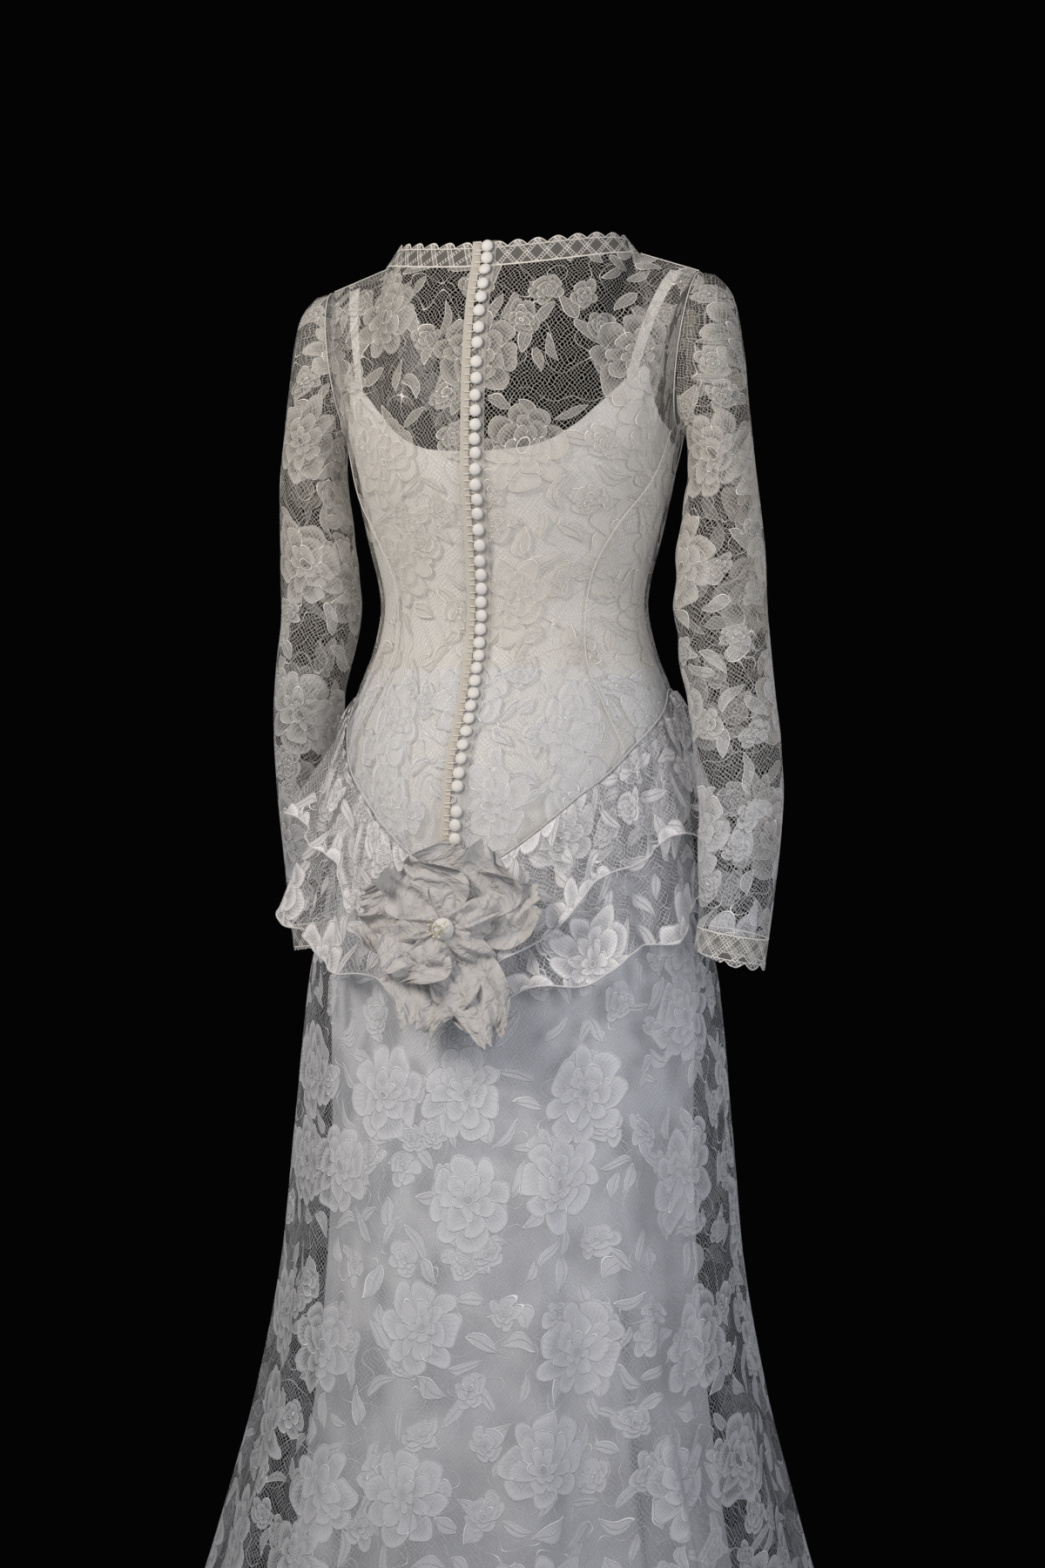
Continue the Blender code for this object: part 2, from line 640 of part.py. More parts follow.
def build_straps():
    half_share = 0.022
    for name, side in (("strap_right", 1), ("strap_left", -1)):
        def place(u, v, side=side):
            over = 2 * v - 1
            back = over <= 0
            t = abs(over)
            share = 0.690 + (2 * u - 1) * half_share
            slip_top = blend(SLIP_TOP, strap_angle(share, back))[0] + GAP
            lo = 0.0
            hi = 1.0
            for _ in range(24):
                mid = (lo + hi) / 2
                if inside_yoke(share, mid, side, back).z < slip_top:
                    lo = mid
                else:
                    hi = mid
            rise = 1.0 - (1.0 - hi) * t
            if t < 1e-6:
                p = yoke(share, 1.0, side, True)
                p.y = 0.0
                return p + Vector((side * -0.28, 0.0, -0.96)) * SLIP_INSET * 1.35
            return inside_yoke(share, rise, side, back)
        sheet(name, 1, 6, place, "slip", outward=side > 0)


def build_skirt():
    pieces = [
        ("skirt_back_right", 0.07, 89.93), ("skirt_back_left", -89.93, -0.07),
        ("skirt_front", 90.07, 269.93),
    ]
    for name, start, end in pieces:
        angles = band_angles(start, end)
        columns = len(angles) - 1

        def place(u, v, angles=angles, columns=columns, start=start, end=end):
            top_angle = angles[int(round(u * columns))]
            fall = 1 - v
            even = start + (end - start) * u
            angle = top_angle + (even - top_angle) * min(fall / 0.3, 1.0)
            top = basque_level(top_angle) - GAP / 2
            return oval(angle, top + (HEM_Z - top) * fall)
        sheet(name, columns, 7, place, "lace_skirt")


def ruffle_slope(tier, angle):
    side = 1 if angle >= 0 else -1
    slope = 0.15 if tier else 0.07
    for row_tier, row_side, crest, width, extra in RUFFLES:
        if row_tier == tier and row_side == side:
            d = (abs(angle) - crest) / width
            slope += extra * math.exp(-0.5 * d * d * 1.9)
    if tier:
        slope = max(slope, ruffle_slope(0, angle) + 0.05)
    return slope


def build_peplum():
    for name, tier, start, end, near, middle, far in PEPLUM:
        def place(u, v, tier=tier, start=start, end=end, near=near, middle=middle, far=far):
            angle = start + (end - start) * u
            a = abs(angle)
            drop = blend([(4.0, near), (50.0, middle), (88.0, far), (104.0, far * 0.80)], a)[0]
            fall = drop * (1 - v)
            stand = (0.0043 if tier else 0.0024) + ruffle_slope(tier, angle) * fall
            z = basque_level(a) - 0.0015 - fall
            base = oval(angle, z)
            out = Vector((base.x, base.y, 0.0)).normalized()
            p = base + out * stand
            p.z = z
            return p
        sheet(name, 32, 3, place, "lace_skirt", wall=0.0012)


def back_rays():
    """Search tree of the centre back panels and neck edging, as they are before thickening."""
    points = []
    faces = []
    for name in ("back_centre_left", "back_centre_right", "neck_edging_back_left", "neck_edging_back_right"):
        mesh = PARTS.objects[name].data
        start = len(points)
        points += [v.co.copy() for v in mesh.vertices]
        faces += [tuple(start + k for k in f.vertices) for f in mesh.polygons]
    return BVHTree.FromPolygons(points, faces)


def back_point(x, z):
    """Point of the centre back's outer face; seams between pieces are stepped over."""
    ray_x = x if abs(x) > 0.0012 else 0.0012
    for step in (0.0, -0.0012, 0.0012, -0.0024):
        hit = RAYS.ray_cast(Vector((ray_x, -0.5, z + step)), Vector((0.0, 1.0, 0.0)))
        if hit[0] is not None:
            break
    return Vector((x, hit[0].y, z))


def on_back(x, z, lift):
    """Point at a lift above the lace wall of the centre back."""
    here = back_point(x, z)
    above = back_point(x, min(z + 0.006, 0.0290))
    below = back_point(x, z - 0.006)
    up = (above - below).normalized()
    out = Vector((1.0, 0.0, 0.0)).cross(up).normalized()
    if out.y > 0:
        out = -out
    return here + out * (WALL + lift)


def build_buttons():
    tape_wall = 0.0012
    for group in range(14):
        base_lift = 0.0019 if group == 0 else 0.0010
        heights = BUTTONS[group * 3:group * 3 + 3]
        above = BUTTONS[group * 3 - 1] if group else heights[0] + 0.0125
        below = BUTTONS[group * 3 + 3] if group < 13 else heights[2] - 0.0125
        if group == 12:
            below = heights[2] - 0.0130
        if group == 13:
            above = heights[0] + 0.0125
        edges = [(above + heights[0]) / 2 - 0.0002]
        edges.append((heights[0] + heights[1]) / 2)
        edges.append((heights[1] + heights[2]) / 2)
        edges.append((heights[2] + below) / 2 + 0.0002)
        edges[0] = min(edges[0], 0.0297)
        points = []
        faces = []
        half = 0.0042

        def add(x, z, lift):
            points.append(on_back(x, z, lift))
            return len(points) - 1
        hi = []
        for k, z_mid in enumerate(heights):
            z_hi = edges[k]
            z_lo = edges[k + 1]
            if k == 0:
                hi = [add(x, z_hi, base_lift + tape_wall) for x in (-half, 0.0, half)]
            mids = [add(x, z_mid, base_lift + tape_wall) for x in (-half, half)]
            low = [add(x, z_lo, base_lift + tape_wall) for x in (-half, 0.0, half)]
            outline = [hi[0], hi[1], hi[2], mids[1], low[2], low[1], low[0], mids[0]]
            turns = [135, 90, 45, 0, -45, -90, -135, 180]
            rim = []
            dome = []
            for turn in turns:
                c = math.cos(math.radians(turn))
                s = math.sin(math.radians(turn))
                rim.append(add(BUTTON_RADIUS * c, z_mid + BUTTON_RADIUS * s, base_lift + 0.0028))
                dome.append(add(0.0038 * c, z_mid + 0.0038 * s, base_lift + BUTTON_HEIGHT))
            cap = add(0.0, z_mid, base_lift + BUTTON_HEIGHT + 0.0006)
            for n in range(8):
                m = (n + 1) % 8
                faces.append((outline[n], rim[n], rim[m], outline[m]))
                faces.append((rim[n], dome[n], dome[m], rim[m]))
                faces.append((dome[n], cap, dome[m]))
            if k == 0:
                first = outline[:3]
                side_left = [outline[0], mids[0], low[0]]
                side_right = [outline[2], mids[1], low[2]]
            else:
                side_left += [mids[0], low[0]]
                side_right += [mids[1], low[2]]
            hi = low
            last = low
        # flat underside of the tape, under the same outline
        loop = list(first) + side_right[1:] + [last[1], last[0]] + side_left[-2:0:-1]
        under_loop = []
        for index in loop:
            p = points[index]
            x = p.x
            under_loop.append(len(points))
            points.append(p.copy())
        spots = []
        spots += [(-half, edges[0]), (0.0, edges[0]), (half, edges[0])]
        for k, z_mid in enumerate(heights):
            spots += [(half, z_mid), (half, edges[k + 1])]
        spots += [(0.0, edges[3]), (-half, edges[3])]
        for k in (2, 1, 0):
            spots.append((-half, heights[k]))
            if k:
                spots.append((-half, edges[k]))
        for index, (x, z) in zip(under_loop, spots):
            points[index] = on_back(x, z, base_lift)
        count = len(loop)
        for n in range(count):
            m = (n + 1) % count
            faces.append((loop[n], loop[m], under_loop[m], under_loop[n]))
        # close the underside with strips across
        rights = under_loop[2:2 + 7]
        lefts = [under_loop[0]] + [under_loop[count - 1 - n] for n in range(6)]
        faces.append((under_loop[0], under_loop[1], under_loop[2], rights[1], lefts[1]))
        for n in range(1, 5):
            faces.append((lefts[n], rights[n], rights[n + 1], lefts[n + 1]))
        faces.append((lefts[5], rights[5], rights[6], under_loop[9], lefts[6]))
        add_object("buttons_%02d" % (group + 1), points, faces, "button", smooth=False)


def build_placket():
    spots = sorted(BUTTONS + [LOOP_SPARE_Z], reverse=True)
    # Loop placket: strip at the left with one lobe reaching to each button
    points = []
    faces = []
    left = -0.0155
    rows = []
    top = 0.0295
    for k, z in enumerate(spots):
        upper = top if k == 0 else (spots[k - 1] + z) / 2
        rows.append((upper, -0.0068))
        rows.append((z, -0.0046))
    rows.append((-0.5415, -0.0068))
    for z, edge in rows:
        for x in (left, edge):
            points.append(on_back(x, z, 0.0011))
    for k in range(len(rows) - 1):
        a = 2 * k
        faces.append((a, a + 2, a + 3, a + 1))
    thicken(add_object("loop_placket", points, faces, "trim", smooth=False), 0.0012, 1.0)

    # Button stand: a plain strip that bends where the panel under it bends
    creases = [v.co.z for v in PARTS.objects["back_centre_right"].data.vertices if abs(v.co.x) < 0.0005]
    levels = sorted([z for z in creases if -0.53 < z < 0.0] + [top, 0.0055, -0.5415], reverse=True)
    heights = []
    for k in range(len(levels) - 1):
        heights += [levels[k], (levels[k] + levels[k + 1]) / 2]
    heights.append(levels[-1])
    points = []
    faces = []
    for z in heights:
        for x in (0.0061, 0.0110):
            points.append(on_back(x, z, 0.0013 if z < 0.001 else 0.0019))
    for k in range(len(heights) - 1):
        a = 2 * k
        faces.append((a, a + 2, a + 3, a + 1))
    thicken(add_object("button_stand", points, faces, "trim", smooth=False), 0.0012, 1.0)


def flower_base(x, z):
    """Point on the outside of the skirt and peplum where the flower lies."""
    sizes = blend(BODY, z)
    angle = math.degrees(math.asin(max(min(x / sizes[0], 0.9), -0.9)))
    p = oval(angle, z)
    out = Vector((p.x, p.y, 0.0)).normalized()
    return p, out


def build_flower():
    x0, z0 = FLOWER_CENTRE
    for name, turn, length, half, root, curl in PETALS:
        def place(u, v, turn=turn, length=length, half=half, root=root, curl=curl):
            dx = math.sin(math.radians(turn))
            dz = math.cos(math.radians(turn))
            reach = PETAL_ROOT + (length - PETAL_ROOT) * v
            width = 0.004 + (half - 0.004) * math.sin(math.pi * min(0.88 * v ** 0.75, 1.0)) ** 0.8
            if v == 0.0:
                width = 0.004
            w = 2 * u - 1
            round_off = 0.10 * length * w * w * v * v
            x = x0 + dx * (reach - round_off) + dz * width * w
            z = z0 + dz * (reach - round_off) - dx * width * w
            base, out = flower_base(x, z)
            r = math.hypot(x - x0, z - z0) / 0.09
            return base + out * (root + curl * r * r)
        sheet(name, 6, 5, place, "organza", outward=True, wall=0.0012)

    # Gathered middle with the stamens, from the dress out through the petals
    points = []
    faces = []
    rings = [(0.0084, 0.0036), (0.0084, 0.0520), (0.0070, 0.0580), (0.0035, 0.0610)]
    around = 10
    for radius, lift in rings:
        for n in range(around):
            a = 2 * math.pi * n / around
            base, out = flower_base(x0 + radius * math.cos(a), z0 + radius * math.sin(a))
            points.append(base + out * lift)
    base, out = flower_base(x0, z0)
    points.append(base + out * 0.0036)
    points.append(base + out * 0.0620)
    for k in range(len(rings) - 1):
        for n in range(around):
            m = (n + 1) % around
            faces.append((k * around + n, k * around + m, (k + 1) * around + m, (k + 1) * around + n))
    last = (len(rings) - 1) * around
    for n in range(around):
        m = (n + 1) % around
        faces.append((m, n, len(points) - 2))
        faces.append((last + n, last + m, len(points) - 1))
    add_object("flower_centre", points, faces, "organza")


clear_scene()
PARTS = bpy.data.collections.new("wedding_dress")
bpy.context.scene.collection.children.link(PARTS)
build_bodice()
build_sleeves()
build_neck_edging()
build_slip()
build_straps()
build_skirt()
build_peplum()
RAYS = back_rays()
build_placket()
build_buttons()
build_flower()
print("pieces", len(PARTS.objects))
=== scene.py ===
import bpy
import math
import numpy as np
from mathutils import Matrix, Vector


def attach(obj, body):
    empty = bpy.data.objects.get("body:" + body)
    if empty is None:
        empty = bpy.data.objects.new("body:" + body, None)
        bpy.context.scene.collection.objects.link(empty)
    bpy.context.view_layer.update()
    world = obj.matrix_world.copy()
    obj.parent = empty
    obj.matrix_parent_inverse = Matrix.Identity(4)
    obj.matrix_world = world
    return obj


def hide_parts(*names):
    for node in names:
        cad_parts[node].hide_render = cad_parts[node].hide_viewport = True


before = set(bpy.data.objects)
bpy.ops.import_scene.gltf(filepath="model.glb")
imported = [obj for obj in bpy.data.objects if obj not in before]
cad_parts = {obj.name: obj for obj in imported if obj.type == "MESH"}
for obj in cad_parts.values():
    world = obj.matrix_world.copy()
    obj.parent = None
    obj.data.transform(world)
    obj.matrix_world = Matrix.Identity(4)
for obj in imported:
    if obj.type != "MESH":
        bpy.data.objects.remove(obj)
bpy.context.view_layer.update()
print("frame loaded")

# body sizes, as in the CAD model
laceLift = 0.0008
slipInset = 0.0040
basqueGap = 0.0002
splitZ = -0.190
hemZ = -1.400
slipHemZ = -1.385
foldsStartZ = -0.56
neckHalf = 0.128
neckZ = 0.020
neckBackDepth = 0.070
neckBackZ = 0.005
neckFrontDepth = 0.119
neckFrontZ = -0.165
armholeX = 0.1765
armholeSway = 0.0105
armholeBack = 0.036
armholeFront = 0.040
armholeDrop = 0.147
bandHeight = 0.025
# shares of the yoke's top edge at which the shoulder and the armhole begin
neckShare = 0.54
armShare = 0.77

# rings of the lace and of the slip's skirt: height, half width, depth behind, depth in front
bodyRings = [
    (-0.147, 0.1670, 0.1000, 0.1180), (-0.190, 0.1580, 0.1000, 0.1240), (-0.240, 0.1470, 0.0915, 0.1150),
    (-0.307, 0.1325, 0.0830, 0.0970), (-0.353, 0.1400, 0.0880, 0.1000), (-0.390, 0.1540, 0.1010, 0.1060),
    (-0.418, 0.1620, 0.1140, 0.1100), (-0.467, 0.1690, 0.1400, 0.1170), (-0.530, 0.1760, 0.1520, 0.1250),
    (-0.600, 0.1850, 0.1550, 0.1340), (-0.668, 0.2000, 0.1620, 0.1450), (-0.820, 0.2120, 0.1800, 0.1680),
    (-0.945, 0.2200, 0.2030, 0.1880), (-1.070, 0.2400, 0.2350, 0.2080), (-1.155, 0.2600, 0.2640, 0.2230),
    (-1.238, 0.2810, 0.2980, 0.2370), (-1.400, 0.3300, 0.3700, 0.2650),
]
underRings = [
    (-0.390, 0.1500, 0.0970, 0.1020), (-0.418, 0.1580, 0.1100, 0.1060), (-0.467, 0.1645, 0.1355, 0.1125),
    (-0.530, 0.1680, 0.1445, 0.1175), (-0.600, 0.1720, 0.1460, 0.1230), (-0.668, 0.1780, 0.1480, 0.1300),
    (-0.820, 0.1740, 0.1560, 0.1420), (-0.945, 0.1760, 0.1680, 0.1520), (-1.070, 0.1840, 0.1880, 0.1640),
    (-1.238, 0.2050, 0.2250, 0.1850), (-1.400, 0.2350, 0.2700, 0.2100),
]
# the basque seam: angle from the centre back, height
basque = [
    (0.0, -0.575), (17.0, -0.543), (30.0, -0.513), (38.0, -0.494), (49.0, -0.472), (60.0, -0.446),
    (70.0, -0.428), (80.0, -0.411), (90.0, -0.394), (110.0, -0.398), (135.0, -0.420), (160.0, -0.446),
    (180.0, -0.460),
]
# princess seams: height, angle
princessBack = [
    (-0.450, 55.0), (-0.410, 47.0), (-0.369, 42.5), (-0.314, 45.5), (-0.277, 48.5), (-0.239, 57.0),
    (-0.195, 73.0), (-0.148, 80.0),
]
princessFront = [
    (-0.440, 140.0), (-0.380, 138.0), (-0.314, 136.0), (-0.250, 130.0), (-0.195, 116.0), (-0.148, 102.0),
]
# the slip's top edge: angle, height
slipTop = [
    (0.0, -0.172), (17.0, -0.168), (25.0, -0.161), (33.0, -0.148), (41.0, -0.130), (48.0, -0.110),
    (55.0, -0.092), (62.0, -0.118), (73.0, -0.148), (90.0, -0.160), (108.0, -0.156), (118.0, -0.130),
    (126.0, -0.102), (132.0, -0.104), (140.0, -0.128), (151.0, -0.160), (165.0, -0.178), (180.0, -0.184),
]
# angle at the hip, angle at the hem, half width in degrees, height at the hem, share of it at the hip
skirtFolds = [
    (-4.0, -3.0, 5.0, 0.010, 0.10), (12.0, 11.0, 5.5, 0.008, 0.10), (25.0, 26.0, 6.0, 0.016, 0.30),
    (46.0, 57.0, 6.5, 0.024, 0.25), (74.0, 80.0, 6.0, 0.016, 0.15), (-22.0, -22.0, 6.0, 0.012, 0.15),
    (-42.0, -44.0, 6.5, 0.015, 0.20), (-64.0, -68.0, 6.5, 0.017, 0.15), (-88.0, -90.0, 6.5, 0.015, 0.15),
    (100.0, 103.0, 7.0, 0.016, 0.15), (126.0, 126.0, 7.0, 0.015, 0.15), (150.0, 149.0, 7.0, 0.016, 0.15),
    (176.0, 175.0, 7.0, 0.014, 0.15), (-113.0, -114.0, 7.0, 0.016, 0.15), (-137.0, -137.0, 7.0, 0.015, 0.15),
    (-160.0, -160.0, 7.0, 0.015, 0.15),
]
# angle, height at the hem, half width in degrees
fineFolds = [
    (-1.0, 0.0056, 2.6), (27.0, 0.0056, 2.4), (-31.0, 0.0048, 2.4), (36.0, -0.0048, 3.0), (8.0, -0.0048, 3.0),
]


def blend(table, value):
    # smooth curve through the rows of a table, read at a value of its first column
    rows = table if table[0][0] < table[-1][0] else table[::-1]
    if value <= rows[0][0]:
        return rows[0][1:]
    if value >= rows[-1][0]:
        return rows[-1][1:]
    k = 0
    while rows[k + 1][0] < value:
        k += 1
    p0 = rows[max(k - 1, 0)]
    p1 = rows[k]
    p2 = rows[k + 1]
    p3 = rows[min(k + 2, len(rows) - 1)]
    h = p2[0] - p1[0]
    t = (value - p1[0]) / h
    t2 = t * t
    t3 = t2 * t
    out = []
    for c in range(1, len(p1)):
        m1 = (p2[c] - p0[c]) / max(p2[0] - p0[0], 1e-9) * h
        m2 = (p3[c] - p1[c]) / max(p3[0] - p1[0], 1e-9) * h
        steep = (t3 - 2 * t2 + t) * m1 + (t3 - t2) * m2
        out.append((2 * t3 - 3 * t2 + 1) * p1[c] + (3 * t2 - 2 * t3) * p2[c] + steep)
    return out


def clamp(value):
    return min(max(value, 0.0), 1.0)


def turnGap(a, b):
    return (a - b + 180.0) % 360.0 - 180.0


def foldHeight(angle, z):
    down = clamp((foldsStartZ - z) / (foldsStartZ - hemZ))
    if down <= 0.0:
        return 0.0
    total = 0.0
    for hip, hem, width, height, share in skirtFolds:
        d = turnGap(angle, hip + (hem - hip) * down) / width
        if abs(d) < 3.0:
            total += height * down ** 0.7 * (share + (1 - share) * down) * math.exp(-0.8 * d * d)
    # a sharp fold with a dip beside it, low on the right
    low = clamp((-0.90 - z) / 0.35)
    d = turnGap(angle, 44.0 + 15.0 * down)
    total += low * (0.0080 * math.exp(-(d / 1.9) ** 2) - 0.0170 * math.exp(-((d - 4.4) / 2.2) ** 2))
    for at, size, wide in fineFolds:
        total += down * size * math.exp(-(turnGap(angle, at) / wide) ** 2)
    r = math.radians(angle)
    ripple = 0.0022 * math.sin(17 * r + 0.7) + 0.0016 * math.sin(29 * r + 2.1 + 3 * down)
    return total + ripple * down


def ringPoint(rings, angle, z, lift, foldShare):
    # point on an oval of the body, pushed out by the folds of the skirt and then by the lift
    halfWidth, behind, ahead = blend(rings, z)
    s = math.sin(math.radians(angle))
    c = math.cos(math.radians(angle))
    depth = behind if c > 0 else ahead
    x = halfWidth * s
    y = -depth * c
    normal = Vector((x / halfWidth ** 2, y / depth ** 2, 0.0)).normalized()
    fold = foldShare * foldHeight(angle, z)
    return Vector((x, y, z)) + Vector((x, y, 0.0)).normalized() * fold + normal * lift


def bodyPoint(angle, z, lift=laceLift):
    return ringPoint(bodyRings, angle, z, lift, 1.0)


def underPoint(angle, z, lift=laceLift):
    return ringPoint(underRings, angle, z, lift, 0.60)


def basqueLevel(angle):
    return blend(basque, abs(turnGap(angle, 0.0)))[0]


def seamAngle(z, back):
    return blend(princessBack if back else princessFront, z)[0]


def armhole(turn, side, back):
    # turn runs from 0 at the shoulder to 180 under the arm
    s = math.sin(math.radians(turn))
    c = math.cos(math.radians(turn))
    y = -armholeBack * s if back else armholeFront * s
    return Vector((side * (armholeX + armholeSway * c), y, -armholeDrop * (1 - c) / 2))


def neckBack(turn, side):
    # turn runs from 0 at the middle to 90 at the shoulder
    s = math.sin(math.radians(turn))
    y = -neckBackDepth * math.cos(math.radians(turn))
    return Vector((side * neckHalf * s, y, neckBackZ + (neckZ - neckBackZ) * s * s))


def neckFront(turn, side):
    s = math.sin(math.radians(turn))
    c = max(math.cos(math.radians(turn)), 0.0)
    z = neckFrontZ + (neckZ - neckFrontZ) * (1 - c) ** 1.3
    return Vector((side * neckHalf * s, neckFrontDepth * c ** 0.8, z))


# turns round the armhole that the last shares of the top edge reach
armShares = [armShare, 0.82, 0.865, 0.905, 0.94, 0.97, 1.0]
armTurns = [0.0, 30.0, 60.0, 90.0, 120.0, 145.0, 165.0]


def yokeTop(share, side, back):
    if share <= neckShare:
        turn = share / neckShare * 90.0
        return neckBack(turn, side) if back else neckFront(turn, side)
    if share <= armShare:
        shoulder = Vector((side * neckHalf, 0.0, neckZ))
        return shoulder.lerp(armhole(0.0, side, back), (share - neckShare) / (armShare - neckShare))
    return armhole(float(np.interp(share, armShares, armTurns)), side, back)


def yokeAngle(share, back):
    middle = 0.0 if back else 180.0
    return middle + (seamAngle(splitZ, back) - middle) * share


def yoke(share, rise, side, back):
    # share runs from the middle to the underarm, rise from the bodice to the top edge
    start = bodyPoint(side * yokeAngle(share, back), splitZ, 0.0)
    top = yokeTop(share, side, back)
    arm = clamp((share - armShare) / (1 - armShare))
    bend = Vector((0.45 * start.x + 0.55 * top.x, start.y * 1.02, start.z + (top.z - start.z) * 0.74))
    control = bend.lerp(start.lerp(top, 0.5), arm)
    p = start * (1 - rise) ** 2 + control * 2 * rise * (1 - rise) + top * rise * rise
    if share >= neckShare:
        p.y += (-0.0002 if back else 0.0002) * rise
    return p


def riseAt(share, z, side, back):
    # the rise at which the yoke reaches a height, found by halving
    low = 0.0
    high = 1.0
    for _ in range(18):
        middle = (low + high) / 2
        if yoke(share, middle, side, back).z < z:
            low = middle
        else:
            high = middle
    return (low + high) / 2


def yokeNormal(share, rise, side, back):
    step = 0.02
    a = yoke(max(share - step, 0.0), rise, side, back)
    b = yoke(min(share + step, 1.0), rise, side, back)
    c = yoke(share, max(rise - step, 0.0), side, back)
    d = yoke(share, min(rise + step, 1.0), side, back)
    n = (b - a).cross(d - c).normalized()
    return n if n.dot(Vector((side * 0.3, -1.0 if back else 1.0, 0.4))) > 0 else -n


def yokeSheet(share, rise, side, back, lift):
    return yoke(share, rise, side, back) + yokeNormal(share, rise, side, back) * lift


# modelling helpers
def select(*objs):
    bpy.ops.object.select_all(action="DESELECT")
    for o in objs:
        o.select_set(True)
    bpy.context.view_layer.objects.active = objs[0]


def gridSheet(name, nx, ny, place, material, uvShift=(0.0, 0.0), middle=0.5, level=0.0, weld=False):
    # a plane cut into a grid, each corner moved to its place on the garment, with its UVs in metres
    bpy.ops.object.select_all(action="DESELECT")
    bpy.ops.mesh.primitive_grid_add(x_subdivisions=nx, y_subdivisions=ny, size=1.0, calc_uvs=True)
    piece = bpy.context.active_object
    piece.name = name
    mesh = piece.data
    co = np.empty(len(mesh.vertices) * 3)
    mesh.vertices.foreach_get("co", co)
    co = co.reshape(-1, 3)
    iu = np.rint((co[:, 0] + 0.5) * nx).astype(int)
    iv = np.rint((co[:, 1] + 0.5) * ny).astype(int)
    points = np.empty((ny + 1, nx + 1, 3))
    for j in range(ny + 1):
        for i in range(nx + 1):
            points[j, i] = place(i / nx, j / ny)
    mesh.vertices.foreach_set("co", points[iv, iu].ravel())
    du = np.linalg.norm(np.diff(points, axis=1), axis=2).cumsum(axis=1)
    du = np.concatenate([np.zeros((ny + 1, 1)), du], axis=1)
    dv = np.linalg.norm(np.diff(points, axis=0), axis=2).cumsum(axis=0)
    dv = np.concatenate([np.zeros((1, nx + 1)), dv], axis=0)
    dv = dv - dv[int(round(level * ny))]
    ref = int(round(middle * nx))
    du = du - du[:, ref:ref + 1]
    uv = np.stack([du + uvShift[0], dv + uvShift[1]], axis=2)
    loops = np.empty(len(mesh.loops), dtype=int)
    mesh.loops.foreach_get("vertex_index", loops)
    mesh.uv_layers[0].data.foreach_set("uv", uv[iv, iu][loops].ravel())
    bpy.ops.object.shade_smooth()
    if weld:
        bpy.ops.object.mode_set(mode="EDIT")
        bpy.ops.mesh.select_all(action="SELECT")
        bpy.ops.mesh.remove_doubles(threshold=0.00002)
        bpy.ops.object.mode_set(mode="OBJECT")
    mesh.materials.clear()
    mesh.materials.append(material)
    mesh.update()
    return piece


def joinedPiece(name, parts, material):
    # one smooth mesh from several, with its origin at the world's
    select(*parts)
    if len(parts) > 1:
        bpy.ops.object.join()
    bpy.ops.object.transform_apply(location=True, rotation=True, scale=True)
    bpy.ops.object.shade_smooth()
    piece = bpy.context.active_object
    piece.name = name
    piece.data.materials.clear()
    piece.data.materials.append(material)
    return piece


def ballPiece(place, radius, segments, rings):
    bpy.ops.object.select_all(action="DESELECT")
    bpy.ops.mesh.primitive_uv_sphere_add(segments=segments, ring_count=rings, radius=radius, location=place)
    return bpy.context.active_object


def cordPiece(name, lines, radius, material, sides=1):
    # one curve object with a round bevel, turned into a mesh
    curve = bpy.data.curves.new(name, "CURVE")
    curve.dimensions = "3D"
    curve.bevel_depth = radius
    curve.bevel_resolution = sides
    curve.use_fill_caps = True
    for line in lines:
        spline = curve.splines.new("POLY")
        spline.points.add(len(line) - 1)
        for k, p in enumerate(line):
            spline.points[k].co = (p[0], p[1], p[2], 1.0)
    piece = bpy.data.objects.new(name, curve)
    bpy.context.collection.objects.link(piece)
    select(piece)
    bpy.ops.object.convert(target="MESH")
    piece = bpy.context.active_object
    piece.name = name
    bpy.ops.object.shade_smooth()
    piece.data.materials.clear()
    piece.data.materials.append(material)
    return piece


def finishPiece(piece, slotName, *nodes):
    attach(piece, "root")
    if nodes:
        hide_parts(*nodes)


# materials
threadFade = 0.0005


